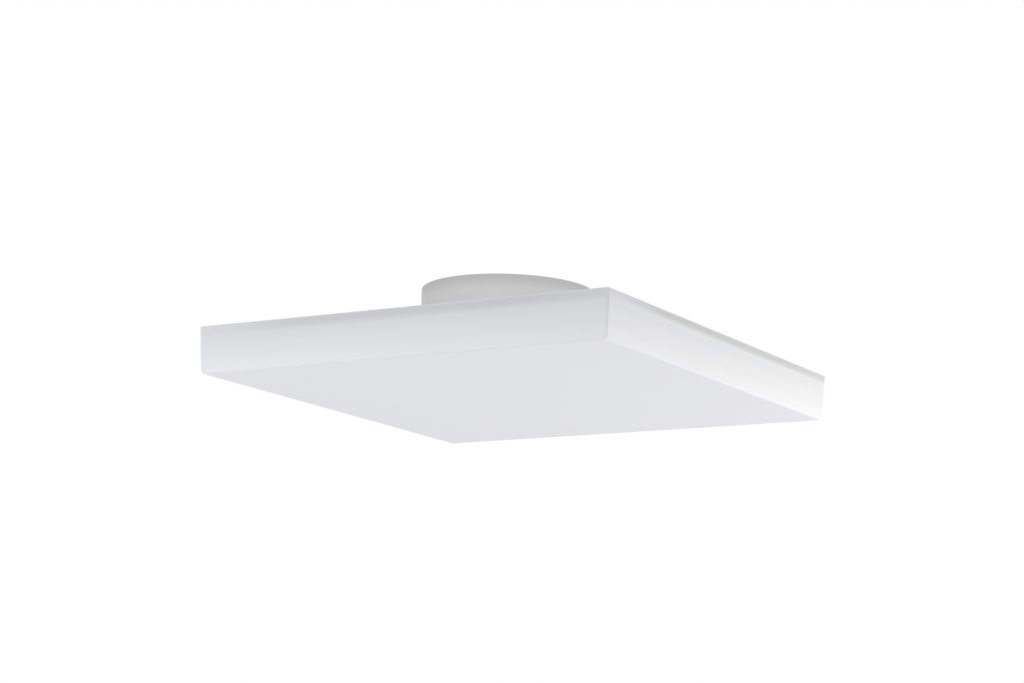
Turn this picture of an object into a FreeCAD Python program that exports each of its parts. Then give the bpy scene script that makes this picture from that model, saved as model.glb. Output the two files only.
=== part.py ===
"""Square flush mount ceiling light, in millimetres.

The origin is on the ceiling, at the middle of the outlet box, and +Z points up. A round steel canopy
hangs below it from a mounting strap. The square pan is riveted under the canopy, and carries the LED
bars. The opal diffuser snaps onto four spring clips inside the pan's flange.
"""
import FreeCAD, Part
import math
import os

import Sketcher

Vector = FreeCAD.Vector

# Driving dimensions: name, number, what it is.
DIMENSIONS = [
    ("diffuser_side", 355.6, "outside width of the diffuser at its rim"),
    ("diffuser_depth", 36.2, "rim to underside of the diffuser"),
    ("diffuser_draft", 2.8, "lean of the diffuser's walls in degrees"),
    ("diffuser_wall", 2.5, "thickness of the acrylic"),
    ("diffuser_round", 2.5, "outside radius of the corners and the lower edge"),
    ("diffuser_inner_round", 1.0, "inside radius of the corners"),
    ("ledge_length", 40.0, "catch ledge along the wall"),
    ("ledge_height", 2.5, "catch ledge, top to bottom"),
    ("ledge_past_flange", 0.9, "ledge past the inner face of the pan's flange"),
    ("gusset_depth", 6.0, "gusset below the catch ledge"),
    ("gusset_width", 1.6, "gusset below the catch ledge"),
    ("gusset_spread", 30.0, "between the two gussets of a ledge"),
    ("canopy_diameter", 137.0, "outside of the canopy"),
    ("canopy_depth", 48.4, "ceiling to the canopy's floor, outside"),
    ("canopy_wall", 0.9, "sheet of the canopy"),
    ("canopy_heel", 2.2, "heel between wall and floor, outside"),
    ("canopy_offset", 13.4, "canopy's middle from the lamp's middle"),
    ("pan_gap", 1.6, "diffuser wall to pan flange, at the flange's foot"),
    ("pan_sheet", 0.8, "sheet of the pan"),
    ("pan_flange", 9.0, "pan's turned-down flange, top face to foot"),
    ("pan_bend", 1.6, "outside radius between plate and flange"),
    ("pan_notch", 7.0, "open notch at each corner of the pan, where two flanges meet"),
    ("strap_width", 20.0, "mounting strap"),
    ("strap_sheet", 1.6, "sheet of the strap"),
    ("strap_lip", 4.0, "strap's stiffening lips, top face to foot"),
    ("strap_bend", 2.4, "outside radius at the ears"),
    ("strap_lip_short", 9.6, "lips stop short of the ears"),
    ("strap_ear_corner", 6.0, "corner radius at the foot of the ears"),
    ("strap_ear", 30.0, "ceiling to the foot of the ears"),
    ("strap_slack", 0.4, "ear's corners to the canopy's wall"),
    ("box_screw_spacing", 88.9, "between the outlet box screws"),
    ("box_slot_length", 14.0, "end to end of a slot"),
    ("box_slot_width", 4.8, "slot for an outlet box screw"),
    ("nipple_bore", 10.4, "hole for the threaded nipple"),
    ("side_screw_level", 22.0, "ceiling to the axis of the side screws"),
    ("side_screw_shank", 4.1, "diameter"),
    ("side_screw_length", 10.0, "under the head"),
    ("side_screw_head", 8.0, "diameter"),
    ("side_screw_head_height", 3.2, "height of the domed head"),
    ("side_screw_slot", 1.2, "width of the slot"),
    ("side_screw_slot_depth", 1.4, "depth of the slot"),
    ("side_screw_slack", 0.3, "side screw to the canopy's hole, on the radius"),
    ("ground_screw_place", 22.0, "middle of the strap to the ground screw"),
    ("ground_screw_rise", 2.4, "strap to the screw's head, for the wire"),
    ("canopy_rivet_across", 48.0, "between the two canopy rivets, square to the strap"),
    ("canopy_rivet_along", 100.0, "between the two canopy rivets, along the strap"),
    ("canopy_rivet_shank", 3.2, "diameter"),
    ("clip_rivet_shank", 2.9, "diameter"),
    ("clip_rivet_inset", 9.0, "clip's leg to its rivet"),
    ("hole_slack", 0.05, "rivet or bushing to its hole, on the radius"),
    ("board_hole_slack", 0.2, "screw to its hole in an LED bar or the driver, on the radius"),
    ("clip_sheet", 0.5, "spring strip"),
    ("clip_width", 14.0, "spring strip"),
    ("clip_foot", 19.0, "strip under the pan's plate"),
    ("clip_clear", 0.4, "clip's leg to the catch ledge"),
    ("clip_bite", 2.4, "barb under the catch ledge"),
    ("clip_drop", 0.25, "ledge's foot to the start of the barb"),
    ("clip_barb", 3.4, "height of the barb's upper flank"),
    ("clip_tail", 4.6, "height of the barb's lead-in"),
    ("clip_tail_in", 3.8, "inward run of the lead-in"),
    ("clip_bend", 0.3, "radius at the strip's bends"),
    ("bushing_x", -55.0, "lead bushing from the canopy's middle"),
    ("bushing_y", -20.0, "lead bushing from the canopy's middle"),
    ("bushing_flange", 10.0, "diameter over the bushing's lips"),
    ("bushing_lip", 1.2, "thickness of a lip"),
    ("bushing_waist", 8.0, "diameter in the sheet's hole"),
    ("bushing_bore", 5.0, "diameter of the bore"),
    ("driver_x", 8.0, "driver's middle from the canopy's middle"),
    ("driver_y", 0.0, "driver's middle from the canopy's middle"),
    ("driver_length", 84.0, "driver"),
    ("driver_width", 38.0, "driver"),
    ("driver_base_height", 15.0, "lower half of the driver's case"),
    ("driver_cover_height", 7.0, "upper half of the driver's case"),
    ("driver_corner", 3.0, "upright corners of the case"),
    ("driver_floor", 3.0, "under the terminal recesses, and the ears"),
    ("driver_ear_width", 9.0, "fixing ear along the case"),
    ("driver_ear_reach", 10.0, "fixing ear out from the case"),
    ("driver_ear_place", 16.0, "middle of the case to the ears"),
    ("driver_ear_corner", 3.6, "corner radius of an ear"),
    ("groove_pitch", 6.0, "between the grip grooves on the driver's cover"),
    ("groove_width", 2.0, "grip groove"),
    ("groove_length", 23.0, "grip groove"),
    ("groove_depth", 0.8, "grip groove"),
    ("driver_screw_shank", 2.9, "diameter"),
    ("driver_screw_tip", 1.8, "screw past the pan"),
    ("terminal_depth", 14.0, "terminal block into the case"),
    ("supply_terminal_width", 25.0, "three poles"),
    ("output_terminal_width", 13.0, "two poles"),
    ("terminal_pitch", 7.0, "between supply poles"),
    ("output_pitch", 4.0, "between output poles"),
    ("supply_entry", 3.4, "side of a supply wire's entry"),
    ("output_entry", 2.0, "side of an output lead's entry"),
    ("entry_depth", 6.0, "depth of a wire's entry"),
    ("entry_level", 4.8, "foot of a terminal to the middle of its entries"),
    ("release_level", 9.6, "foot of a terminal to the middle of its release slots"),
    ("release_height", 1.4, "release slot"),
    ("release_width", 2.4, "release slot of a supply pole"),
    ("output_release_width", 1.4, "release slot of an output pole"),
    ("release_depth", 3.0, "release slot"),
    ("terminal_fit", 0.1, "terminal block to its recess, each side"),
    ("bar_count", 4, "LED bars"),
    ("bar_pitch", 80.0, "between LED bars"),
    ("bar_length", 300.0, "LED bar"),
    ("bar_width", 14.0, "LED bar"),
    ("bar_sheet", 1.2, "LED bar"),
    ("led_count", 10, "LEDs on a bar"),
    ("led_margin", 28.5, "bar's end to the middle of its last LED"),
    ("led_length", 3.5, "LED across the bar"),
    ("led_width", 2.8, "LED along the bar"),
    ("led_height", 0.7, "LED"),
    ("bar_screw_gap", 1, "gap between LEDs that holds a bar's screw, from the rear"),
    ("hook_width", 8.0, "hook that holds a bar's front end"),
    ("hook_reach", 3.0, "hook over the end of the bar"),
    ("hook_slack", 0.15, "hook to the bar"),
    ("bar_screw_shank", 2.9, "diameter"),
    ("bar_screw_head", 5.6, "diameter"),
    ("bar_screw_head_height", 1.8, "height of the domed head"),
    ("bar_screw_tip", 2.0, "screw past the pan's plate"),
    ("connector_inset", 10.0, "bar's end to the middle of its connector"),
    ("connector_length", 8.0, "connector along the bar"),
    ("connector_width", 8.0, "connector across the bar"),
    ("connector_height", 4.0, "connector"),
    ("connector_entry_depth", 3.0, "depth of a lead's entry"),
    ("lead_diameter", 1.5, "insulated lead"),
    ("lead_pitch", 2.5, "between the two leads in a connector"),
    ("lead_gap", 0.6, "between the two leads where they lie together"),
    ("lead_rest", 0.1, "lead to what it rests on"),
    ("jumper_straight", 9.0, "jumper straight out of its connector"),
    ("jumper_drop", 12.0, "run over which a jumper meets the pan"),
    ("lead_lane", 80.0, "lamp's middle to the lane of the feed leads"),
    ("lead_clip_length", 9.0, "lead clip along the leads"),
    ("lead_clip_width", 8.4, "lead clip across the leads, at its foot"),
    ("lead_clip_crown", 6.8, "lead clip across the leads, at its crown"),
    ("lead_clip_height", 4.2, "lead clip"),
    ("lead_clip_wall", 1.0, "lead clip"),
    ("lead_clip_first", 54.0, "bushing to the first lead clip"),
    ("lead_clip_pitch", 30.0, "between the lead clips"),
]

# Shares and counts that give the small pieces their form.
RIVET_HEAD = 1.9  # rivet's head, of its shank's radius
RIVET_RISE = 0.6  # height of a rivet's head, of its shank's radius
HEEL_LOSS = 2 - math.sqrt(2)  # what a 45 degree heel loses inside, of the sheet
PAST = 1.2  # how far a cut right through runs past the piece
FASTENER_SIDES = 12  # flats that stand for the round of a small repeated fastener
TUBE_SIDES = 6  # flats that stand for a thin lead's round sleeve
TUBE_BEND = 0.45  # what each bend of a lead takes of the shorter run beside it

doc = FreeCAD.newDocument("CeilingLight")
sheet = doc.addObject("Spreadsheet::Sheet", "Sizes")
for row, (alias, number, meaning) in enumerate(DIMENSIONS, start=1):
    sheet.set(f"A{row}", meaning)
    sheet.set(f"B{row}", str(number))
    sheet.setAlias(f"B{row}", alias)
doc.recompute()


class Size:
    """A length that knows its number and the sheet formula that gives it."""

    def __init__(self, number, formula):
        self.number = float(number)
        self.formula = formula

    def __add__(self, other):
        other = as_size(other)
        return Size(self.number + other.number, f"({self.formula} + {other.formula})")

    def __sub__(self, other):
        other = as_size(other)
        return Size(self.number - other.number, f"({self.formula} - {other.formula})")

    def __mul__(self, other):
        other = as_size(other)
        return Size(self.number * other.number, f"({self.formula} * {other.formula})")

    def __truediv__(self, other):
        other = as_size(other)
        return Size(self.number / other.number, f"({self.formula} / {other.formula})")

    def __neg__(self):
        return Size(-self.number, f"(0 - {self.formula})")


def as_size(value):
    """A plain number as a Size."""
    return value if isinstance(value, Size) else Size(value, f"{float(value):.6f}")


def tangent(angle):
    """The tangent of an angle in degrees."""
    return Size(math.tan(math.radians(angle.number)), f"tan({angle.formula} * 1 deg)")


def square_root(area):
    """The square root of a product of two lengths."""
    return Size(math.sqrt(area.number), f"sqrt({area.formula})")


class Dimensions:
    """Each driving dimension under its own name."""


size = Dimensions()
for alias, number, meaning in DIMENSIONS:
    setattr(size, alias, Size(number, f"Sizes.{alias}"))


# What the pieces share, worked out from the driving dimensions.
ZERO = as_size(0)
canopy_radius = size.canopy_diameter / 2
canopy_inside = canopy_radius - size.canopy_wall
canopy_floor = size.canopy_wall - size.canopy_depth
lean = tangent(size.diffuser_draft)
diffuser_half = size.diffuser_side / 2
cavity_half = diffuser_half - size.diffuser_wall
pan_half = cavity_half - size.pan_flange * lean - size.pan_gap
flange_inside = pan_half - size.pan_sheet
ledge_inside = flange_inside - size.ledge_past_flange
clip_leg = ledge_inside - size.clip_clear - size.clip_sheet / 2
clip_rivet_place = clip_leg - size.clip_rivet_inset
ear_face = square_root(canopy_inside * canopy_inside - size.strap_width * size.strap_width / 4) - size.strap_slack
pan_underside = -size.pan_sheet
bar_underside = pan_underside - size.bar_sheet
driver_screw_y = size.driver_width / 2 + size.driver_ear_reach - size.driver_ear_width / 2
led_pitch = (size.bar_length - size.led_margin * 2) / (size.led_count - 1)
bar_screw_y = led_pitch * (size.led_count / 2 - size.bar_screw_gap)
connector_y = size.bar_length / 2 - size.connector_inset


def origin_part(body, role):
    """A body's own origin plane or axis."""
    return next(feature for feature in body.Origin.OriginFeatures if feature.Role == role)


def new_body(label):
    """An empty body named for its piece."""
    body = doc.addObject("PartDesign::Body", label)
    body.Label = label
    return body


def place(thing, x=ZERO, y=ZERO, z=ZERO):
    """Tie a piece's place to the sheet."""
    for axis, value in (("x", x), ("y", y), ("z", z)):
        thing.setExpression(f"Placement.Base.{axis}", as_size(value).formula)


def place_in_lamp(thing, x=ZERO, y=ZERO, z=ZERO):
    """Place a piece from the middle of the pan's top face."""
    place(thing, x, as_size(y) - size.canopy_offset, as_size(z) - size.canopy_depth)


def new_sketch(body, name, plane, offset=None):
    """A sketch on one of the body's origin planes, or beside it."""
    sketch = body.newObject("Sketcher::SketchObject", name)
    sketch.AttachmentSupport = (origin_part(body, plane), "")
    sketch.MapMode = "FlatFace"
    if offset is not None:
        sketch.setExpression("AttachmentOffset.Base.z", offset.formula)
    return sketch


def bind(sketch, kind, *where):
    """Add a dimension whose last value is a Size, and tie it to the sheet."""
    value = as_size(where[-1])
    index = sketch.addConstraint(Sketcher.Constraint(kind, *where[:-1], value.number))
    sketch.setExpression(f"Constraints[{index}]", value.formula)


def pin(sketch, curve, point, x, y):
    """Fix a curve's point at x, y from the sketch's origin."""
    bind(sketch, "DistanceX", -1, 1, curve, point, x)
    bind(sketch, "DistanceY", -1, 1, curve, point, y)


def draw_outline(sketch, points, closed=True):
    """Straight lines from point to point."""
    points = [(as_size(x), as_size(y)) for x, y in points]
    ends = points[1:] + points[:1] if closed else points[1:]
    lines = []
    for (x1, y1), (x2, y2) in zip(points, ends):
        line = Part.LineSegment(Vector(x1.number, y1.number, 0), Vector(x2.number, y2.number, 0))
        lines.append(sketch.addGeometry(line))
    for line, following in zip(lines, lines[1:]):
        sketch.addConstraint(Sketcher.Constraint("Coincident", line, 2, following, 1))
    if closed:
        sketch.addConstraint(Sketcher.Constraint("Coincident", lines[-1], 2, lines[0], 1))
    for line, (x, y) in zip(lines, points):
        pin(sketch, line, 1, x, y)
    if not closed:
        pin(sketch, lines[-1], 2, *points[-1])


def draw_rectangle(sketch, x, y, width, height):
    """A rectangle about its middle."""
    left, right = as_size(x) - width / 2, as_size(x) + width / 2
    low, high = as_size(y) - height / 2, as_size(y) + height / 2
    draw_outline(sketch, [(left, low), (right, low), (right, high), (left, high)])


def draw_circle(sketch, x, y, radius):
    """A circle about its middle."""
    x, y = as_size(x), as_size(y)
    circle = Part.Circle(Vector(x.number, y.number, 0), Vector(0, 0, 1), radius.number)
    index = sketch.addGeometry(circle)
    pin(sketch, index, 3, x, y)
    bind(sketch, "Radius", index, radius)


def draw_slot(sketch, y_low, y_high, radius):
    """A round-ended slot along the sketch's vertical axis, from one end's centre to the other's."""
    low, high, r = y_low.number, y_high.number, radius.number
    flat = Vector(0, 0, 1)
    foot = sketch.addGeometry(Part.ArcOfCircle(Part.Circle(Vector(0, low, 0), flat, r), math.pi, 2 * math.pi))
    head = sketch.addGeometry(Part.ArcOfCircle(Part.Circle(Vector(0, high, 0), flat, r), 0, math.pi))
    right = sketch.addGeometry(Part.LineSegment(Vector(r, low, 0), Vector(r, high, 0)))
    left = sketch.addGeometry(Part.LineSegment(Vector(-r, high, 0), Vector(-r, low, 0)))
    for first, second in ((foot, right), (right, head), (head, left), (left, foot)):
        sketch.addConstraint(Sketcher.Constraint("Tangent", first, 2, second, 1))
    sketch.addConstraint(Sketcher.Constraint("Equal", foot, head))
    pin(sketch, foot, 3, ZERO, y_low)
    pin(sketch, head, 3, ZERO, y_high)
    bind(sketch, "Radius", foot, radius)


def add_pad(body, name, sketch, length, reverse=False, both_ways=False):
    """Raise a sketch into a solid."""
    pad = body.newObject("PartDesign::Pad", name)
    pad.Profile = sketch
    pad.setExpression("Length", as_size(length).formula)
    pad.Reversed = reverse
    pad.Midplane = both_ways
    doc.recompute()
    return pad


def add_pocket(body, name, sketch, length=None, reverse=False, both_ways=False):
    """Cut a sketch out, to a depth or right through, and make sure that something went."""
    before = body.Tip.Shape.Volume
    pocket = body.newObject("PartDesign::Pocket", name)
    pocket.Profile = sketch
    pocket.Reversed = reverse
    pocket.Midplane = both_ways
    if length is None:
        pocket.Type = "ThroughAll"
    else:
        pocket.setExpression("Length", as_size(length).formula)
    doc.recompute()
    if pocket.Shape.Volume >= before:
        raise RuntimeError(f"{body.Label}: {name} cuts nothing")
    return pocket


def add_revolution(body, name, sketch):
    """Turn a half profile about the sketch's vertical axis."""
    turned = body.newObject("PartDesign::Revolution", name)
    turned.Profile = sketch
    turned.ReferenceAxis = (sketch, ["V_Axis"])
    turned.Angle = 360
    doc.recompute()
    return turned


def add_fillet(body, name, radius, wanted, kind="Fillet"):
    """Round, or chamfer, the edges of the piece so far that the test picks."""
    tip = body.Tip
    edges = [f"Edge{n}" for n, edge in enumerate(tip.Shape.Edges, start=1) if wanted(edge)]
    if not edges:
        raise RuntimeError(f"{body.Label}: {name} finds no edge")
    feature = body.newObject(f"PartDesign::{kind}", name)
    feature.Base = (tip, edges)
    feature.setExpression("Radius" if kind == "Fillet" else "Size", as_size(radius).formula)
    doc.recompute()
    return feature


def add_wedge(body, name, kind, foot_half, rim_half, foot):
    """A block, or a cut, with four leaning sides, from its foot up to the body's own level."""
    wedge = body.newObject(f"PartDesign::{kind}Wedge", name)
    wedge.AttachmentSupport = (origin_part(body, "XZ_Plane"), "")
    wedge.MapMode = "FlatFace"
    for side, reach in (("min", "(0 - {})"), ("max", "{}")):
        for way in "XZ":
            wedge.setExpression(f"{way}{side}", reach.format(foot_half.formula))
            wedge.setExpression(f"{way}2{side}", reach.format(rim_half.formula))
    wedge.setExpression("Ymin", foot.formula)
    wedge.setExpression("Ymax", ZERO.formula)
    doc.recompute()
    return wedge


def add_step(body, name, x, y, low, high, radius):
    """One step of a small upright fastener, with flats that stand for its round."""
    step = body.newObject("PartDesign::AdditivePrism", name)
    step.AttachmentSupport = (origin_part(body, "XY_Plane"), "")
    step.MapMode = "FlatFace"
    step.Polygon = FASTENER_SIDES
    for axis, value in (("x", x), ("y", y), ("z", low)):
        step.setExpression(f"AttachmentOffset.Base.{axis}", value.formula)
    step.setExpression("Circumradius", radius.formula)
    step.setExpression("Height", (high - low).formula)
    doc.recompute()
    return step


def add_rivet(body, x, y, radius, grip_low, grip_high):
    """A rivet with a flat head on each side of the sheets it grips."""
    head = radius * RIVET_HEAD
    rise = radius * RIVET_RISE
    return [
        add_step(body, "Shank", x, y, grip_low, grip_high, radius),
        add_step(body, "LowerHead", x, y, grip_low - rise, grip_low, head),
        add_step(body, "UpperHead", x, y, grip_high, grip_high + rise, head),
    ]


def add_round_pattern(body, name, features, count):
    """Repeat features about the body's Z axis."""
    pattern = body.newObject("PartDesign::PolarPattern", name)
    pattern.Originals = features
    pattern.Axis = (origin_part(body, "Z_Axis"), [""])
    pattern.Angle = 360
    pattern.Occurrences = count
    body.Tip = pattern
    doc.recompute()
    return pattern


def add_grid(body, name, features, along_x, count_x, along_y=ZERO, count_y=1):
    """Repeat features in rows along +X and +Y, over the whole lengths given."""
    pattern = body.newObject("PartDesign::LinearPattern", name)
    pattern.Originals = features
    pattern.Direction = (origin_part(body, "X_Axis"), [""])
    pattern.setExpression("Length", as_size(along_x).formula)
    pattern.setExpression("Occurrences", as_size(count_x).formula)
    pattern.Direction2 = (origin_part(body, "Y_Axis"), [""])
    pattern.setExpression("Length2", as_size(along_y).formula)
    pattern.setExpression("Occurrences2", as_size(count_y).formula)
    body.Tip = pattern
    doc.recompute()
    return pattern


def level_at(height, wanted):
    """True for a height that is the one wanted."""
    return abs(height - wanted.number) < 0.01


def level(edge, height):
    """True for an edge that lies flat at a height."""
    return level_at(edge.BoundBox.ZMin, height) and level_at(edge.BoundBox.ZMax, height)


def upright(edge, x=None, y=None, reach=0.01):
    """True for an edge that rises, near a place where one is given."""
    box = edge.BoundBox
    rises = box.ZLength > 10 * max(box.XLength, box.YLength) and box.ZLength > 0.05
    at_x = x is None or abs(abs(box.Center.x) - x.number) < reach
    at_y = y is None or abs(abs(box.Center.y) - y.number) < reach
    return rises and at_x and at_y


def make_diffuser():
    """Opal acrylic tray: drafted walls, soft edges, and a catch ledge inside each wall."""
    body = new_body("diffuser")
    place_in_lamp(body)
    foot = -size.diffuser_depth
    floor = foot + size.diffuser_wall
    add_wedge(body, "Block", "Additive", diffuser_half + foot * lean, diffuser_half, foot)
    add_wedge(body, "Cavity", "Subtractive", cavity_half + floor * lean, cavity_half, floor)

    def corner(edge, foot_level):
        return upright(edge) and level_at(edge.BoundBox.ZMin, foot_level)

    add_fillet(body, "InnerRounds", size.diffuser_inner_round, lambda edge: corner(edge, floor))
    add_fillet(body, "OuterRounds", size.diffuser_round, lambda edge: corner(edge, foot) or level(edge, foot))

    # The ledge's top meets the foot of the pan's flange, and its back is sunk in the wall.
    ledge = new_sketch(body, "LedgeOutline", "XY_Plane", -size.pan_flange)
    ledge_back = cavity_half
    reach = size.ledge_length / 2
    corners = [(ledge_inside, -reach), (ledge_back, -reach), (ledge_back, reach), (ledge_inside, reach)]
    draw_outline(ledge, corners)
    ledge_pad = add_pad(body, "Ledge", ledge, size.ledge_height, reverse=True)
    gusset_top = -size.pan_flange - size.ledge_height
    gusset = new_sketch(body, "GussetOutline", "XZ_Plane", size.gusset_spread / 2 - size.gusset_width / 2)
    tips = [(ledge_inside, gusset_top), (ledge_back, gusset_top), (ledge_back, gusset_top - size.gusset_depth)]
    draw_outline(gusset, tips)
    near = add_pad(body, "Gusset", gusset, size.gusset_width)
    twin = new_sketch(body, "TwinGussetOutline", "XZ_Plane", -size.gusset_spread / 2 - size.gusset_width / 2)
    draw_outline(twin, tips)
    far = add_pad(body, "TwinGusset", twin, size.gusset_width)
    add_round_pattern(body, "FourLedges", [ledge_pad, near, far], 4)
    return body


def pan_hole_places():
    """Centres and radii of the pan's round holes, from the lamp's middle."""
    slack = size.hole_slack
    shift = size.canopy_offset
    holes = []
    for side in (-1, 1):
        x = size.canopy_rivet_across * side / 2
        y = size.canopy_rivet_along * side / 2 + shift
        holes.append((x, y, size.canopy_rivet_shank / 2 + slack))
        x = size.driver_x - size.driver_ear_place * side
        y = size.driver_y + driver_screw_y * side + shift
        holes.append((x, y, size.driver_screw_shank / 2))
    for sign in (-1, 1):
        holes.append((clip_rivet_place * sign, ZERO, size.clip_rivet_shank / 2 + slack))
        holes.append((ZERO, clip_rivet_place * sign, size.clip_rivet_shank / 2 + slack))
    bushing = (size.bushing_x, size.bushing_y + shift, size.bushing_waist / 2 + slack)
    return holes + [bushing]


def bar_x(number):
    """The middle of an LED bar, counted from 0, from the lamp's middle."""
    return size.bar_pitch * number - size.bar_pitch * (size.bar_count - 1) / 2


def make_chassis_pan():
    """Square steel pan: a plate with a flange turned down on each side, and an open notch at each corner."""
    body = new_body("chassis_pan")
    place_in_lamp(body)
    outline = new_sketch(body, "PlateOutline", "XY_Plane")
    draw_rectangle(outline, 0, 0, pan_half * 2, pan_half * 2)
    add_pad(body, "Block", outline, size.pan_flange, reverse=True)
    hollow = new_sketch(body, "HollowOutline", "XY_Plane", -size.pan_flange)
    draw_rectangle(hollow, 0, 0, flange_inside * 2, flange_inside * 2)
    add_pocket(body, "Hollow", hollow, size.pan_flange - size.pan_sheet, reverse=True)
    add_fillet(body, "OuterBends", size.pan_bend, lambda edge: level(edge, ZERO))
    inner_bend = size.pan_bend - size.pan_sheet
    add_fillet(body, "InnerBends", inner_bend, lambda edge: level(edge, pan_underside))
    notches = new_sketch(body, "NotchOutlines", "XY_Plane")
    for x, y in ((-1, -1), (1, -1), (1, 1), (-1, 1)):
        draw_rectangle(notches, pan_half * x, pan_half * y, size.pan_notch * 2, size.pan_notch * 2)
    add_pocket(body, "Notches", notches)
    round_holes = new_sketch(body, "HoleCentres", "XY_Plane")
    for x, y, radius in pan_hole_places():
        draw_circle(round_holes, x, y, radius)
    add_pocket(body, "Holes", round_holes)

    # Each bar's screw hole, and at the bar's other end a hook lanced from the plate and bent over it.
    screw_hole = new_sketch(body, "BarScrewHole", "XY_Plane")
    draw_circle(screw_hole, bar_x(0), bar_screw_y, size.bar_screw_shank / 2)
    hole = add_pocket(body, "FirstBarHole", screw_hole)
    leg_inside = -size.bar_length / 2 - size.hook_slack
    leg_outside = leg_inside - size.pan_sheet
    tip = -size.bar_length / 2 + size.hook_reach
    hook_top = bar_underside - size.hook_slack
    hook_foot = hook_top - size.pan_sheet
    blank = new_sketch(body, "HookBlank", "XY_Plane")
    blank_length = tip - leg_outside - hook_top
    draw_rectangle(blank, bar_x(0), leg_outside - blank_length / 2, size.hook_width, blank_length)
    window = add_pocket(body, "HookWindow", blank)
    profile = new_sketch(body, "HookProfile", "YZ_Plane", bar_x(0) - size.hook_width / 2)
    points = [(leg_outside, ZERO), (leg_outside, hook_foot), (tip, hook_foot), (tip, hook_top)]
    points += [(leg_inside, hook_top), (leg_inside, ZERO)]
    draw_outline(profile, points)
    hook = add_pad(body, "Hook", profile, size.hook_width)
    span = size.bar_pitch * (size.bar_count - 1)
    add_grid(body, "EveryBar", [hole, window, hook], span, size.bar_count)
    return body


def make_canopy():
    """Drawn steel cup, open towards the ceiling."""
    body = new_body("canopy")
    profile = new_sketch(body, "CupProfile", "XZ_Plane")
    foot = -size.canopy_depth
    points = [(ZERO, foot), (canopy_radius, foot), (canopy_radius, ZERO), (canopy_inside, ZERO)]
    points += [(canopy_inside, canopy_floor), (ZERO, canopy_floor)]
    draw_outline(profile, points)
    add_revolution(body, "Cup", profile)
    add_fillet(body, "OuterHeel", size.canopy_heel, lambda edge: level(edge, foot), "Chamfer")
    inner_heel = size.canopy_heel - size.canopy_wall * HEEL_LOSS
    add_fillet(body, "InnerHeel", inner_heel, lambda edge: level(edge, canopy_floor), "Chamfer")
    holes = new_sketch(body, "FloorHoles", "XY_Plane", foot)
    for x, y, radius in pan_hole_places():
        within = math.hypot(x.number, y.number - size.canopy_offset.number) < canopy_inside.number
        if within:
            draw_circle(holes, x, y - size.canopy_offset, radius)
    add_pocket(body, "FloorHolesCut", holes, size.canopy_wall * 2, reverse=True)
    side_hole = new_sketch(body, "SideHole", "XZ_Plane")
    draw_circle(side_hole, 0, -size.side_screw_level, size.side_screw_shank / 2 + size.side_screw_slack)
    add_pocket(body, "SideHoles", side_hole, size.canopy_diameter * PAST, both_ways=True)
    return body


def make_mounting_strap():
    """Crossbar over the outlet box: slots for the box screws, lips, and an ear bent down at each end."""
    body = new_body("mounting_strap")
    side = new_sketch(body, "SideProfile", "YZ_Plane")
    ear_back = ear_face - size.strap_sheet
    foot = -size.strap_ear
    under = -size.strap_sheet
    right = [(ear_face, ZERO), (ear_face, foot), (ear_back, foot), (ear_back, under)]
    left = [(-y, z) for y, z in reversed(right)]
    draw_outline(side, right + left)
    add_pad(body, "Bar", side, size.strap_width, both_ways=True)

    def bend(edge, place_y, height):
        box = edge.BoundBox
        across = box.XLength > size.strap_width.number - 0.01
        return across and level(edge, height) and abs(abs(box.Center.y) - place_y.number) < 0.01

    add_fillet(body, "OuterBends", size.strap_bend, lambda edge: bend(edge, ear_face, ZERO))
    inner_bend = size.strap_bend - size.strap_sheet
    add_fillet(body, "InnerBends", inner_bend, lambda edge: bend(edge, ear_back, under))
    half = size.strap_width / 2
    lip_reach = ear_back - size.strap_lip_short

    def ear_corner(edge):
        box = edge.BoundBox
        return box.YLength > size.strap_sheet.number - 0.01 and level(edge, foot) and box.XLength < 0.01

    add_fillet(body, "EarCorners", size.strap_ear_corner, ear_corner)
    lips = new_sketch(body, "LipOutline", "XY_Plane")
    for sign in (-1, 1):
        middle = (half - size.strap_sheet / 2) * sign
        draw_rectangle(lips, middle, 0, size.strap_sheet, lip_reach * 2)
    add_pad(body, "Lips", lips, size.strap_lip, reverse=True)
    holes = new_sketch(body, "BarHoles", "XY_Plane")
    draw_circle(holes, 0, 0, size.nipple_bore / 2)
    draw_circle(holes, 0, size.ground_screw_place, size.side_screw_shank / 2)
    slot_radius = size.box_slot_width / 2
    slot_near = size.box_screw_spacing / 2 - size.box_slot_length / 2 + slot_radius
    slot_far = size.box_screw_spacing / 2 + size.box_slot_length / 2 - slot_radius
    draw_slot(holes, slot_near, slot_far, slot_radius)
    draw_slot(holes, -slot_far, -slot_near, slot_radius)
    add_pocket(body, "BarHolesCut", holes)
    ear_hole = new_sketch(body, "EarHole", "XZ_Plane")
    draw_circle(ear_hole, 0, -size.side_screw_level, size.side_screw_shank / 2)
    add_pocket(body, "EarHoles", ear_hole, size.canopy_diameter * PAST, both_ways=True)
    return body


def draw_slotted_screw(sketch, face, length):
    """Half of a screw, its head's underside at the face and its shank up from there."""
    crown = face - size.side_screw_head_height
    tip = face + length
    head = size.side_screw_head / 2
    shank = size.side_screw_shank / 2
    draw_outline(sketch, [(ZERO, tip), (ZERO, crown), (head, crown), (head, face), (shank, face), (shank, tip)])


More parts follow.
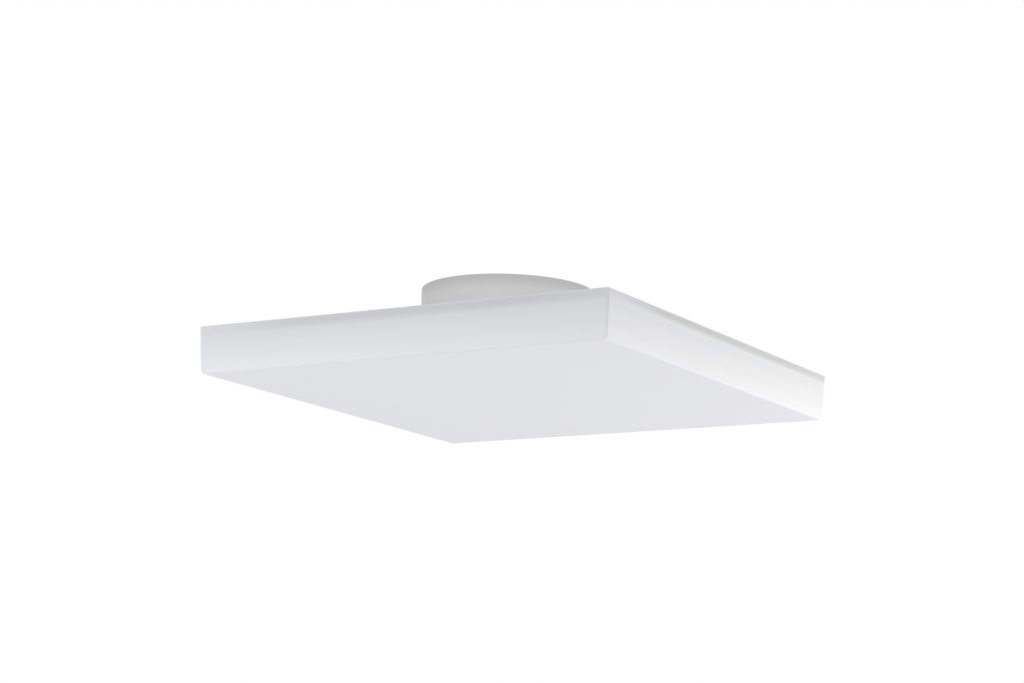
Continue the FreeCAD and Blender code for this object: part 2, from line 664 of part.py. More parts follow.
def make_canopy_side_screws():
    """Two slotted screws through the canopy's wall into the strap's ears."""
    body = new_body("canopy_side_screws")
    profile = new_sketch(body, "ScrewProfile", "XY_Plane", -size.side_screw_level)
    draw_slotted_screw(profile, -canopy_radius, size.side_screw_length)
    screw = add_revolution(body, "Screw", profile)
    slot = new_sketch(body, "SlotOutline", "XZ_Plane", canopy_radius + size.side_screw_head_height)
    draw_rectangle(slot, 0, -size.side_screw_level, size.side_screw_head * PAST, size.side_screw_slot)
    cut = add_pocket(body, "Slot", slot, size.side_screw_slot_depth)
    add_round_pattern(body, "BothScrews", [screw, cut], 2)
    return body


def make_ground_screw():
    """Green screw in the strap, for the ground wire."""
    body = new_body("ground_screw")
    place(body, ZERO, size.ground_screw_place, -size.strap_sheet - size.ground_screw_rise)
    profile = new_sketch(body, "ScrewProfile", "XZ_Plane")
    draw_slotted_screw(profile, ZERO, size.strap_sheet + size.ground_screw_rise - size.strap_slack / 2)
    add_revolution(body, "Screw", profile)
    slot = new_sketch(body, "SlotOutline", "XY_Plane", -size.side_screw_head_height)
    draw_rectangle(slot, 0, 0, size.side_screw_head * PAST, size.side_screw_slot)
    add_pocket(body, "Slot", slot, size.side_screw_slot_depth, reverse=True)
    return body


def make_canopy_rivets():
    """Two rivets through the canopy's floor and the pan's plate, one each side of the driver."""
    body = new_body("canopy_rivets")
    place(body, ZERO, ZERO, -size.canopy_depth)
    x = size.canopy_rivet_across / 2
    y = size.canopy_rivet_along / 2
    rivet = add_rivet(body, x, y, size.canopy_rivet_shank / 2, pan_underside, size.canopy_wall)
    add_round_pattern(body, "BothRivets", rivet, 2)
    return body


def make_lead_bushing():
    """Rubber bushing that lines the leads' hole through the canopy's floor and the pan."""
    body = new_body("lead_bushing")
    place(body, size.bushing_x, size.bushing_y, -size.canopy_depth)
    profile = new_sketch(body, "BushingProfile", "XZ_Plane")
    bore = size.bushing_bore / 2
    waist = size.bushing_waist / 2
    lip = size.bushing_flange / 2
    low, high = pan_underside, size.canopy_wall
    bottom, top = low - size.bushing_lip, high + size.bushing_lip
    points = [(bore, bottom), (lip, bottom), (lip, low), (waist, low), (waist, high), (lip, high)]
    points += [(lip, top), (bore, top)]
    draw_outline(profile, points)
    add_revolution(body, "Bushing", profile)
    return body


def make_driver_base():
    """Lower half of the driver's case, with a fixing ear on each side and a recess at each end."""
    body = new_body("driver_base")
    place(body, size.driver_x, size.driver_y, canopy_floor)
    outline = new_sketch(body, "CaseOutline", "XY_Plane")
    draw_rectangle(outline, 0, 0, size.driver_length, size.driver_width)
    add_pad(body, "Case", outline, size.driver_base_height)
    add_fillet(body, "Corners", size.driver_corner, upright)
    ears = new_sketch(body, "EarOutline", "XY_Plane")
    reach = size.driver_width / 2 + size.driver_ear_reach
    for side in (-1, 1):
        middle_y = reach * side / 2
        draw_rectangle(ears, -size.driver_ear_place * side, middle_y, size.driver_ear_width, reach)
    add_pad(body, "Ears", ears, size.driver_floor)
    add_fillet(body, "EarCorners", size.driver_ear_corner, lambda edge: upright(edge, None, reach))
    ear_holes = new_sketch(body, "EarHoles", "XY_Plane")
    for side in (-1, 1):
        x = -size.driver_ear_place * side
        draw_circle(ear_holes, x, driver_screw_y * side, size.driver_screw_shank / 2 + size.board_hole_slack)
    add_pocket(body, "EarHolesCut", ear_holes, reverse=True)
    recesses = new_sketch(body, "RecessOutline", "XY_Plane", size.driver_base_height)
    end = size.driver_length / 2
    for sign, width in ((1, size.supply_terminal_width), (-1, size.output_terminal_width)):
        inner = (end - size.terminal_depth) * sign
        outer = end * PAST * sign
        half = width / 2
        draw_outline(recesses, [(inner, -half), (outer, -half), (outer, half), (inner, half)])
    add_pocket(body, "Recesses", recesses, size.driver_base_height - size.driver_floor)
    return body


def make_driver_cover():
    """Upper half of the driver's case, with grip grooves across its top."""
    body = new_body("driver_cover")
    place(body, size.driver_x, size.driver_y, canopy_floor + size.driver_base_height)
    outline = new_sketch(body, "CoverOutline", "XY_Plane")
    draw_rectangle(outline, 0, 0, size.driver_length, size.driver_width)
    add_pad(body, "Cover", outline, size.driver_cover_height)
    add_fillet(body, "Corners", size.driver_corner, upright)
    height = size.driver_cover_height
    add_fillet(body, "TopEdge", size.driver_corner / 2, lambda edge: level(edge, height), "Chamfer")
    grooves = new_sketch(body, "GrooveOutline", "XY_Plane", height)
    for step in (-5, -4, -3, 3, 4, 5):
        draw_rectangle(grooves, size.groove_pitch * step, 0, size.groove_width, size.groove_length)
    add_pocket(body, "Grooves", grooves, size.groove_depth)
    return body


def make_driver_screws():
    """Two screws through the driver's ears, the canopy's floor and the pan."""
    body = new_body("driver_screws")
    place(body, size.driver_x, size.driver_y, canopy_floor + size.driver_floor)
    x = -size.driver_ear_place
    y = driver_screw_y
    length = size.driver_floor + size.canopy_wall + size.pan_sheet + size.driver_screw_tip
    shank = add_step(body, "Shank", x, y, -length, ZERO, size.driver_screw_shank / 2)
    head = add_step(body, "Head", x, y, ZERO, size.bar_screw_head_height, size.bar_screw_head / 2)
    add_round_pattern(body, "BothScrews", [shank, head], 2)
    return body


def make_terminal(label, width, poles, pitch, entry, release, sign):
    """Push-in terminal block in an end of the driver: square wire entries under release slots."""
    body = new_body(label)
    end = size.driver_x + size.driver_length / 2 * sign
    depth = size.terminal_depth - size.terminal_fit
    middle = end - depth / 2 * sign
    place(body, middle, size.driver_y, canopy_floor + size.driver_floor)
    outline = new_sketch(body, "BlockOutline", "XY_Plane")
    draw_rectangle(outline, 0, 0, depth, width - size.terminal_fit * 2)
    height = size.driver_base_height - size.driver_floor
    add_pad(body, "Block", outline, height)
    holes = new_sketch(body, "WireEntries", "YZ_Plane", depth / 2 * sign)
    slots = new_sketch(body, "ReleaseSlots", "YZ_Plane", depth / 2 * sign)
    for pole in range(poles):
        y = pitch * (pole - (poles - 1) / 2)
        draw_rectangle(holes, y, size.entry_level, entry, entry)
        draw_rectangle(slots, y, size.release_level, release, size.release_height)
    add_pocket(body, "Entries", holes, size.entry_depth, reverse=sign < 0)
    add_pocket(body, "Slots", slots, size.release_depth, reverse=sign < 0)
    return body


def make_led_bar(number):
    """Aluminium board with square corners and a hole for its screw."""
    body = new_body(f"led_bar_{number + 1}")
    place_in_lamp(body, bar_x(number), ZERO, pan_underside)
    outline = new_sketch(body, "BarOutline", "XY_Plane")
    draw_rectangle(outline, 0, 0, size.bar_width, size.bar_length)
    add_pad(body, "Bar", outline, size.bar_sheet, reverse=True)
    hole = new_sketch(body, "ScrewHole", "XY_Plane")
    draw_circle(hole, 0, bar_screw_y, size.bar_screw_shank / 2 + size.board_hole_slack)
    add_pocket(body, "Hole", hole)
    return body


def make_leds():
    """Every LED package, in rows along the bars."""
    body = new_body("leds")
    first_y = -led_pitch * (size.led_count - 1) / 2
    place_in_lamp(body, bar_x(0), first_y, bar_underside)
    outline = new_sketch(body, "LedOutline", "XY_Plane")
    draw_rectangle(outline, 0, 0, size.led_length, size.led_width)
    led = add_pad(body, "Led", outline, size.led_height, reverse=True)
    across = size.bar_pitch * (size.bar_count - 1)
    add_grid(body, "AllLeds", [led], across, size.bar_count, led_pitch * (size.led_count - 1), size.led_count)
    return body


def make_bar_screws():
    """One screw through the rear end of each bar into the pan."""
    body = new_body("bar_screws")
    place_in_lamp(body, bar_x(0), bar_screw_y, bar_underside)
    length = size.bar_sheet + size.pan_sheet + size.bar_screw_tip
    shank = add_step(body, "Shank", ZERO, ZERO, ZERO, length, size.bar_screw_shank / 2)
    head = add_step(body, "Head", ZERO, ZERO, -size.bar_screw_head_height, ZERO, size.bar_screw_head / 2)
    add_grid(body, "AllScrews", [shank, head], size.bar_pitch * (size.bar_count - 1), size.bar_count)
    return body


# Each connector: the bar it is on, the end of the bar (-1 or 1), and the way its leads leave (-1 or 1).
CONNECTORS = [(0, -1, 1), (0, 1, 1), (1, 1, -1), (1, -1, 1), (2, -1, -1), (2, 1, 1), (3, 1, -1)]


def make_bar_connectors():
    """Two-pole connectors at the bars' ends, with square lead entries in one side."""
    group = doc.addObject("Part::Compound", "bar_connectors")
    group.Label = "bar_connectors"
    pieces = []
    for index, (bar, end, way) in enumerate(CONNECTORS, start=1):
        block = doc.addObject("Part::Box", f"ConnectorBlock{index}")
        block.setExpression("Length", size.connector_width.formula)
        block.setExpression("Width", size.connector_length.formula)
        block.setExpression("Height", size.connector_height.formula)
        middle_y = connector_y * end
        low_x = bar_x(bar) - size.connector_width / 2
        place_in_lamp(block, low_x, middle_y - size.connector_length / 2, bar_underside - size.connector_height)
        entries = []
        for side in (-1, 1):
            entry = doc.addObject("Part::Box", f"ConnectorEntry{index}")
            bore = size.lead_diameter + size.hole_slack * 2
            entry.setExpression("Length", (size.connector_entry_depth * 2).formula)
            entry.setExpression("Width", bore.formula)
            entry.setExpression("Height", bore.formula)
            x = bar_x(bar) + size.connector_width / 2 * way - size.connector_entry_depth
            y = middle_y + size.lead_pitch / 2 * side - bore / 2
            place_in_lamp(entry, x, y, bar_underside - size.connector_height / 2 - bore / 2)
            entries.append(entry)
        both = doc.addObject("Part::Fuse", f"ConnectorEntries{index}")
        both.Base, both.Tool = entries
        connector = doc.addObject("Part::Cut", f"Connector{index}")
        connector.Base, connector.Tool = block, both
        pieces.append(connector)
    group.Links = pieces
    doc.recompute()
    return group


def make_spring_clip(name, turn):
    """Spring strip: a foot under the pan, a leg down past the ledge, a barb under the ledge, a lead-in."""
    body = new_body(f"spring_clip_{name}")
    body.Placement.Rotation = FreeCAD.Rotation(Vector(0, 0, 1), turn)
    place_in_lamp(body)
    half = size.clip_sheet / 2
    foot_level = pan_underside - half
    heel = clip_leg - size.clip_foot
    barb_top = -size.pan_flange - size.ledge_height - size.clip_drop
    barb_tip = ledge_inside + size.clip_bite - half
    tip_level = barb_top - size.clip_barb
    tail_end = barb_tip - size.clip_tail_in
    path = new_sketch(body, "StripPath", "XZ_Plane")
    points = [(heel, foot_level), (clip_leg, foot_level), (clip_leg, barb_top), (barb_tip, tip_level)]
    points += [(tail_end, tip_level - size.clip_tail)]
    draw_outline(path, points, closed=False)
    section = new_sketch(body, "StripSection", "YZ_Plane", heel)
    draw_rectangle(section, 0, foot_level, size.clip_width, size.clip_sheet)
    doc.recompute()
    strip = body.newObject("PartDesign::AdditivePipe", "Strip")
    strip.Profile = section
    strip.Spine = (path, [])
    strip.Transition = "Right corner"
    doc.recompute()
    bend_lines = ((clip_leg, foot_level), (clip_leg, barb_top), (barb_tip, tip_level))

    def at_bend(edge):
        box = edge.BoundBox
        along = box.YLength > size.clip_width.number - 0.01
        near = any(math.hypot(box.Center.x - x.number, box.Center.z - z.number) < size.clip_sheet.number
                   for x, z in bend_lines)
        return along and near

    add_fillet(body, "Bends", size.clip_bend, at_bend)
    hole = new_sketch(body, "RivetHole", "XY_Plane")
    draw_circle(hole, clip_rivet_place, 0, size.clip_rivet_shank / 2 + size.hole_slack)
    add_pocket(body, "RivetHoleCut", hole, size.pan_sheet + size.clip_sheet * 2)
    return body


def make_clip_rivets():
    """One rivet through the pan's plate and the foot of each spring clip."""
    body = new_body("clip_rivets")
    place_in_lamp(body)
    rivet = add_rivet(body, clip_rivet_place, ZERO, size.clip_rivet_shank / 2, pan_underside - size.clip_sheet, ZERO)
    add_round_pattern(body, "FourRivets", rivet, 4)
    return body


def unit(vector):
    """A vector of length one."""
    return vector * (1 / vector.Length)


def make_tube(points, radius, name):
    """Straight runs joined by tangent arcs, each as large as its two runs allow."""
    edges = []
    here = points[0]
    radii = []
    for before, corner, after in zip(points, points[1:], points[2:]):
        run_in, run_out = corner - before, after - corner
        half_turn = run_in.getAngle(run_out) / 2
        reach = TUBE_BEND * min(run_in.Length, run_out.Length)
        bend = reach / math.tan(half_turn)
        arc_start = corner - unit(run_in) * reach
        arc_end = corner + unit(run_out) * reach
        inward = unit(unit(run_out) - unit(run_in))
        arc_middle = corner + inward * (bend / math.cos(half_turn) - bend)
        edges.append(Part.LineSegment(here, arc_start).toShape())
        edges.append(Part.Arc(arc_start, arc_middle, arc_end).toShape())
        here = arc_end
        radii.append(bend)
    edges.append(Part.LineSegment(here, points[-1]).toShape())
    path = Part.Wire(edges)
    ahead = points[1] - points[0]
    across = unit(ahead.cross(Vector(0, 0, 1))) * radius
    turned = [FreeCAD.Rotation(ahead, 360 * side / TUBE_SIDES).multVec(across) for side in range(TUBE_SIDES)]
    corners = [points[0] + reach for reach in turned]
    section = Part.makePolygon(corners + corners[:1])
    tube = path.makePipeShell([section], True, False)
    share = tube.Volume / (Part.Face(section).Area * path.Length)
    print(f"{name}: length {path.Length:.1f}, least radius {min(radii):.1f}, volume share {share:.4f}")
    return tube


def in_lamp(x, y, z):
    """A point given from the middle of the pan's top face."""
    return Vector(x, y - size.canopy_offset.number, z - size.canopy_depth.number)


def make_feed_lead(label, side):
    """A lead from the driver's output, through the bushing, along the pan to the first bar."""
    radius = size.lead_diameter.number / 2
    half_pitch = (size.lead_diameter + size.lead_gap).number / 2
    out_x = (size.driver_x - size.driver_length / 2).number
    out_y = size.driver_y.number + side * size.output_pitch.number / 2
    case_floor = (canopy_floor + size.driver_floor).number
    out_z = case_floor + size.entry_level.number
    bush_x = size.bushing_x.number - side * half_pitch
    bush_y = size.bushing_y.number
    plate = pan_underside.number - size.canopy_depth.number
    lane_x = -size.lead_lane.number - side * half_pitch
    clip_z = plate - (size.lead_clip_wall + size.lead_rest).number - radius
    clip_start = bush_y - size.lead_clip_first.number
    clip_end = clip_start - size.lead_clip_pitch.number - size.lead_clip_length.number
    bar = bar_x(0).number
    plug_x = bar + (size.connector_width / 2 - size.connector_entry_depth).number
    plug_y = -(connector_y + size.canopy_offset).number + side * size.lead_pitch.number / 2
    plug_z = (bar_underside - size.connector_height / 2 - size.canopy_depth).number

    # Out of the driver, round to the bushing, down through it, along the pan and under both clips, then
    # round to the connector. Each bend is given from the fixed place it is nearest to.
    points = [
        Vector(out_x + size.entry_depth.number, out_y, out_z),
        Vector(out_x - 9 - 2 * side, out_y, out_z),
        Vector(bush_x, bush_y + 12, out_z - 1),
        Vector(bush_x, bush_y, out_z - 3),
        Vector(bush_x, bush_y, plate - 7),
        Vector(lane_x, clip_start + 24, clip_z),
        Vector(lane_x, clip_end - 18, clip_z),
        Vector(lane_x - 12, plug_y, plug_z),
        Vector(plug_x, plug_y, plug_z),
    ]
    lead = doc.addObject("Part::Feature", label)
    lead.Label = label
    lead.Shape = make_tube(points, radius, label)
    return lead


def make_jumper_leads():
    """Pairs of leads from each bar to the next, resting on the pan."""
    radius = size.lead_diameter.number / 2
    rest_z = (pan_underside - size.lead_rest).number - radius
    plug_z = (bar_underside - size.connector_height / 2).number
    inset = (size.connector_width / 2 - size.connector_entry_depth).number
    straight = size.jumper_straight.number
    low = (size.jumper_straight + size.jumper_drop).number
    tubes = []
    for gap, end in enumerate((1, -1, 1)):
        for side in (-1, 1):
            y = end * connector_y.number + side * size.lead_pitch.number / 2
            x1 = bar_x(gap).number + inset
            x2 = bar_x(gap + 1).number - inset
            heights = [(x1, plug_z), (x1 + straight, plug_z), (x1 + low, rest_z)]
            heights += [(x2 - low, rest_z), (x2 - straight, plug_z), (x2, plug_z)]
            points = [in_lamp(x, y, z) for x, z in heights]
            tubes.append(make_tube(points, radius, f"jumper {gap + 1}"))
    group = doc.addObject("Part::Feature", "jumper_leads")
    group.Label = "jumper_leads"
    group.Shape = Part.makeCompound(tubes)
    return group


def make_lead_clips():
    """Two adhesive saddles that hold the feed leads to the pan."""
    body = new_body("lead_clips")
    start_y = size.bushing_y + size.canopy_offset - size.lead_clip_first
    end_y = start_y - size.lead_clip_pitch - size.lead_clip_length
    place_in_lamp(body, -size.lead_lane, end_y, pan_underside)
    half = size.lead_clip_width / 2
    foot = -size.lead_clip_height
    saddle = new_sketch(body, "SaddleProfile", "XZ_Plane")
    crown = size.lead_clip_crown / 2
    draw_outline(saddle, [(-half, ZERO), (half, ZERO), (crown, foot), (-crown, foot)])
    solid = add_pad(body, "Saddle", saddle, size.lead_clip_length, reverse=True)
    tunnel = new_sketch(body, "TunnelProfile", "XZ_Plane")
    wide = (size.lead_diameter + size.lead_gap) * 2
    tall = size.lead_clip_height - size.lead_clip_wall * 2
    draw_rectangle(tunnel, 0, foot / 2, wide, tall)
    cut = add_pocket(body, "Tunnel", tunnel, size.lead_clip_length)
    add_grid(body, "BothSaddles", [solid, cut], 0, 1, size.lead_clip_pitch, 2)
    return body


def build():
    """Every piece, in the order in which the light is put together."""
    pieces = [
        make_mounting_strap(),
        make_ground_screw(),
        make_canopy(),
        make_canopy_side_screws(),
        make_chassis_pan(),
        make_canopy_rivets(),
        make_driver_base(),
        make_terminal("supply_terminal", size.supply_terminal_width, 3, size.terminal_pitch,
                      size.supply_entry, size.release_width, 1),
        make_terminal("output_terminal", size.output_terminal_width, 2, size.output_pitch,
                      size.output_entry, size.output_release_width, -1),
        make_driver_cover(),
        make_driver_screws(),
        make_lead_bushing(),
    ]
    pieces += [make_led_bar(number) for number in range(int(size.bar_count.number))]
    pieces += [
        make_leds(),
        make_bar_screws(),
        make_bar_connectors(),
        make_jumper_leads(),
        make_feed_lead("feed_lead_red", 1),
        make_feed_lead("feed_lead_black", -1),
        make_lead_clips(),
    ]
    for name, turn in (("right", 0), ("rear", 90), ("left", 180), ("front", 270)):
        pieces.append(make_spring_clip(name, turn))
    pieces.append(make_clip_rivets())
    pieces.append(make_diffuser())
    return pieces


def check(pieces):
    """Stop if anything failed to build."""
    for thing in doc.Objects:
        if "Invalid" in thing.State or "Error" in thing.State:
            raise RuntimeError(f"{thing.Label} is {thing.State}")
    for piece in pieces:
        if piece.Shape.isNull() or not piece.Shape.isValid() or not piece.Shape.Solids:
            raise RuntimeError(f"{piece.Label} has no sound solid")


parts = build()
doc.recompute()
check(parts)
os.makedirs("parts", exist_ok=True)
for part in parts:
    part.Shape.exportStep(f"parts/{part.Label}.step")
    print(part.Label, len(part.Shape.Solids), round(part.Shape.Volume, 1))
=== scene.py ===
import math

import bmesh
import bpy
from mathutils import Matrix, Vector


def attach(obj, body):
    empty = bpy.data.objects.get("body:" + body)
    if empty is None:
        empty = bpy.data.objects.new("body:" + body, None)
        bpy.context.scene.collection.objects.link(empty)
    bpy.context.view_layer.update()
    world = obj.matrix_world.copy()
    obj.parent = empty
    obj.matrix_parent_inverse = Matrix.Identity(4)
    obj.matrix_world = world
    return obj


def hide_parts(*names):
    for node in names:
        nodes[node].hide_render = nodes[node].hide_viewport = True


# A square flush mount ceiling light. The ceiling is at z = 0, the light hangs below it, and the
# sections follow the order in which it is put together. Lengths are in metres.
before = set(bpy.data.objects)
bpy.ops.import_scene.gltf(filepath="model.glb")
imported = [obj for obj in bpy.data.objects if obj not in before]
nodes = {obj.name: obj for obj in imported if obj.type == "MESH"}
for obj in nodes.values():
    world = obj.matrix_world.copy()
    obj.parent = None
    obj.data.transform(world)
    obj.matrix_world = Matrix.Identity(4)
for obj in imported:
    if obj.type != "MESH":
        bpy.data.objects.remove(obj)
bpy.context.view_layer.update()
MM = 0.001
CANOPY_OFFSET = 13.4 * MM
PAN_TOP = -48.4 * MM
PAN_UNDERSIDE = -49.2 * MM

# Mounting strap: the crossbar over the outlet box, slotted and bent from zinc-plated steel strip.
# The plating is bright, with faint rolling streaks along the strip and a blue to straw cast.


def new_finish(name, metallic=0.0, **sockets):
    """A finish and its shader. What is the same all over sits on the shader's own sockets."""
    finish = bpy.data.materials.new(name)
    finish.use_nodes = True
    shader = finish.node_tree.nodes["Principled BSDF"]
    shader.inputs["Metallic"].default_value = metallic
    for socket, value in sockets.items():
        shader.inputs[socket.replace("_", " ").title().replace("Ior", "IOR")].default_value = value
    return finish, shader


def on_piece(finish, stretch=(1, 1, 1)):
    """A place on the piece, stretched along its grain."""
    tree = finish.node_tree
    spot = tree.nodes.new("ShaderNodeTexCoord")
    grain = tree.nodes.new("ShaderNodeMapping")
    grain.inputs["Scale"].default_value = stretch
    tree.links.new(spot.outputs["Object"], grain.inputs["Vector"])
    return grain.outputs["Vector"]


def clouds(finish, width, stretch=(1, 1, 1), detail=3.0):
    """Soft random patches about as wide as width."""
    patches = finish.node_tree.nodes.new("ShaderNodeTexNoise")
    patches.inputs["Scale"].default_value = 1 / width
    patches.inputs["Detail"].default_value = detail
    finish.node_tree.links.new(on_piece(finish, stretch), patches.inputs["Vector"])
    return patches.outputs["Fac"]


def spread(finish, value, low, high, start=0.3, end=0.7):
    """Carry a value from start..end over to low..high, smoothly."""
    range_node = finish.node_tree.nodes.new("ShaderNodeMapRange")
    range_node.interpolation_type = "SMOOTHSTEP"
    for socket, number in (("From Min", start), ("From Max", end), ("To Min", low), ("To Max", high)):
        range_node.inputs[socket].default_value = number
    finish.node_tree.links.new(value, range_node.inputs["Value"])
    return range_node.outputs["Result"]


def tint(finish, value, *stops):
    """A colour from a value: each stop is a place from 0 to 1 and a colour."""
    ramp = finish.node_tree.nodes.new("ShaderNodeValToRGB")
    ramp.color_ramp.interpolation = "EASE"
    while len(ramp.color_ramp.elements) < len(stops):
        ramp.color_ramp.elements.new(0.5)
    for element, (place, colour) in zip(ramp.color_ramp.elements, stops):
        element.position = place
        element.color = (*colour, 1)
    finish.node_tree.links.new(value, ramp.inputs["Fac"])
    return ramp.outputs["Color"]


def emboss(finish, shader, height, depth):
    """Raise the surface by depth where height is 1."""
    bump = finish.node_tree.nodes.new("ShaderNodeBump")
    bump.inputs["Distance"].default_value = depth
    finish.node_tree.links.new(height, bump.inputs["Height"])
    finish.node_tree.links.new(bump.outputs["Normal"], shader.inputs["Normal"])


def coat_node(name, finish):
    """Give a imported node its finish."""
    nodes[name].data.materials.clear()
    nodes[name].data.materials.append(finish)


def metal(name, colours, grain, width, roughness, depth):
    """Bare or plated metal: a cast that drifts between its colours, and fine streaks along its grain."""
    finish, shader = new_finish(name, metallic=1.0)
    tree = finish.node_tree
    cast = clouds(finish, 9 * MM, detail=2.0)
    places = (0.3, 0.5, 0.7)
    tree.links.new(tint(finish, cast, *zip(places, colours)), shader.inputs["Base Color"])
    streaks = clouds(finish, width, grain, detail=4.0)
    tree.links.new(spread(finish, streaks, roughness * 0.75, roughness * 1.3), shader.inputs["Roughness"])
    emboss(finish, shader, streaks, depth)
    return finish


ZINC = ((0.50, 0.53, 0.58), (0.60, 0.60, 0.60), (0.62, 0.59, 0.52))
strap_zinc = metal("strap_zinc", ZINC, (1, 0.04, 1), 0.5 * MM, 0.32, 0.01 * MM)
coat_node("mounting_strap", strap_zinc)

# Ground screw: a slotted steel screw turned up into the strap, dyed green over its zinc plating. It
# has a domed head and a coarse cut thread.
GROUND_SCREW_PLACE = Vector((0, 22 * MM, -4.0 * MM))
GROUND_SCREW_LENGTH = 3.8 * MM
LARGE_SHANK = 2.05 * MM
LARGE_HEAD = 4.0 * MM
LARGE_HEAD_HEIGHT = 3.2 * MM
SLOT_WIDTH = 1.2 * MM
SLOT_DEPTH = 1.4 * MM
COARSE_PITCH = 0.79 * MM
THREAD_START = 0.001 * MM


def finished(bm, name, finish, body="fixture", stands_for=(), sharp=35):
    """Make a piece of a mesh: smooth with its sharp edges kept, finished, and riding on its body."""
    bmesh.ops.recalc_face_normals(bm, faces=bm.faces)
    mesh = bpy.data.meshes.new(name)
    bm.to_mesh(mesh)
    bm.free()
    for polygon in mesh.polygons:
        polygon.use_smooth = True
    mesh.set_sharp_from_angle(angle=math.radians(sharp))
    mesh.materials.append(finish)
    piece = bpy.data.objects.new(name, mesh)
    bpy.context.scene.collection.objects.link(piece)
    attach(piece, body)
    if stands_for:
        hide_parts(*stands_for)
    return piece


def join_rings(bm, rings, closed=False):
    """Skin a row of rings. A ring of one point closes to a tip."""
    for lower, upper in zip(rings, rings[1:] + (rings[:1] if closed else [])):
        around = max(len(lower), len(upper))
        for step in range(around):
            following = (step + 1) % around
            corners = [lower[step % len(lower)], lower[following % len(lower)]]
            corners += [upper[following % len(upper)], upper[step % len(upper)]]
            bm.faces.new(list(dict.fromkeys(corners)))


def turn(bm, place, profile, facets=48, closed=False):
    """Turn a profile of (radius, height) points about the upright axis, and put it in its place."""
    rings = []
    for radius, height in profile:
        around = facets if radius > 0 else 1
        angles = [2 * math.pi * step / around for step in range(around)]
        ring = [Vector((radius * math.cos(a), radius * math.sin(a), height)) for a in angles]
        rings.append([bm.verts.new(place @ point) for point in ring])
    join_rings(bm, rings, closed)


def bow(middle, radius, start, end, steps=6):
    """Points on an arc in a profile, from one angle to another in degrees."""
    angles = [math.radians(start + (end - start) * step / steps) for step in range(steps + 1)]
    return [(middle[0] + radius * math.cos(a), middle[1] + radius * math.sin(a)) for a in angles]


def cut_thread(bm, place, crest, root, pitch, start, end, facets=24):
    """A threaded shank: one ridge that winds up it and fades out at both ends."""
    rows = max(4, round((end - start) / pitch * 8))
    rings = [[bm.verts.new(place @ Vector((0, 0, start)))]]
    for row in range(rows + 1):
        height = start + (end - start) * row / rows
        fade = max(0.0, min(1.0, (height - start) / pitch, (end - height) / pitch))
        ring = []
        for step in range(facets):
            phase = (height / pitch - step / facets) % 1
            ridge = max(0.0, 1 - abs(phase - 0.5) * 3)
            radius = root + (crest - root) * ridge * fade
            angle = 2 * math.pi * step / facets
            point = Vector((radius * math.cos(angle), radius * math.sin(angle), height))
            ring.append(bm.verts.new(place @ point))
        rings.append(ring)
    rings.append([bm.verts.new(place @ Vector((0, 0, end)))])
    join_rings(bm, rings)


def block(bm, place, width, depth, height):
    """A plain block about its middle, for cutting with."""
    corners = bmesh.ops.create_cube(bm, size=1)["verts"]
    for corner in corners:
        corner.co = place @ Vector((corner.co.x * width, corner.co.y * depth, corner.co.z * height))


def cut_away(bm, cutter):
    """What is left of one solid once another is taken out of it."""
    solids = []
    for name, solid in (("stock", bm), ("cutter", cutter)):
        bmesh.ops.recalc_face_normals(solid, faces=solid.faces)
        mesh = bpy.data.meshes.new(name)
        solid.to_mesh(mesh)
        solid.free()
        solids.append(bpy.data.objects.new(name, mesh))
        bpy.context.scene.collection.objects.link(solids[-1])
    stock, tool = solids
    taken = stock.modifiers.new("taken", "BOOLEAN")
    taken.object = tool
    taken.solver = "EXACT"
    left = bmesh.new()
    left.from_object(stock, bpy.context.evaluated_depsgraph_get())
    for solid in solids:
        bpy.data.objects.remove(solid)
    return left


def slotted_screw(place, length):
    """A domed head with a straight slot, on a threaded shank that points up."""
    dome = bow((0, 0), 1, -90, 0, 7)
    rim = 0.8 * MM
    soft_edge = 0.15 * MM
    profile = [(LARGE_HEAD * r, -rim + (LARGE_HEAD_HEIGHT - rim) * z) for r, z in dome]
    profile[0] = (0, -LARGE_HEAD_HEIGHT)
    profile += [(LARGE_HEAD, -soft_edge), (LARGE_HEAD - soft_edge, 0), (0, 0)]
    head = bmesh.new()
    turn(head, Matrix.Identity(4), profile, facets=40)
    slot = bmesh.new()
    block(slot, Matrix.Translation((0, 0, -LARGE_HEAD_HEIGHT)), LARGE_HEAD * 3, SLOT_WIDTH, SLOT_DEPTH * 2)
    screw = cut_away(head, slot)
    cut_thread(screw, Matrix.Identity(4), LARGE_SHANK, LARGE_SHANK * 0.78, COARSE_PITCH, THREAD_START, length)
    screw.transform(place)
    return screw


ground_dye = metal("ground_dye", ((0.02, 0.20, 0.06), (0.04, 0.30, 0.10), (0.08, 0.36, 0.12)),
                   (1, 1, 1), 0.6 * MM, 0.34, 0.006 * MM)
ground_screw = slotted_screw(Matrix.Translation(GROUND_SCREW_PLACE), GROUND_SCREW_LENGTH)
finished(ground_screw, "ground_screw_head_and_thread", ground_dye,
         stands_for=["ground_screw"])

# Canopy: a round cup drawn from steel sheet, with a light grey powder coat of fine orange peel. Its
# heel is drawn over a radius, and its wall is pierced for the two side screws.
CANOPY_RADIUS = 68.5 * MM
CANOPY_SHEET = 0.9 * MM
CANOPY_HEEL = 3.2 * MM
SIDE_HOLE = 2.35 * MM
SIDE_SCREW_LEVEL = -22 * MM
CUT_EDGE = 0.2 * MM
BUSHING_PLACE = (-55 * MM, -20 * MM)
BUSHING_HOLE = 4.05 * MM
RIVET_PLACES = ((24 * MM, 50 * MM), (-24 * MM, -50 * MM))
RIVET_HOLE = 1.65 * MM
DRIVER_SCREW_PLACES = ((-8 * MM, 24.5 * MM), (24 * MM, -24.5 * MM))
DRIVER_SCREW_HOLE = 1.45 * MM


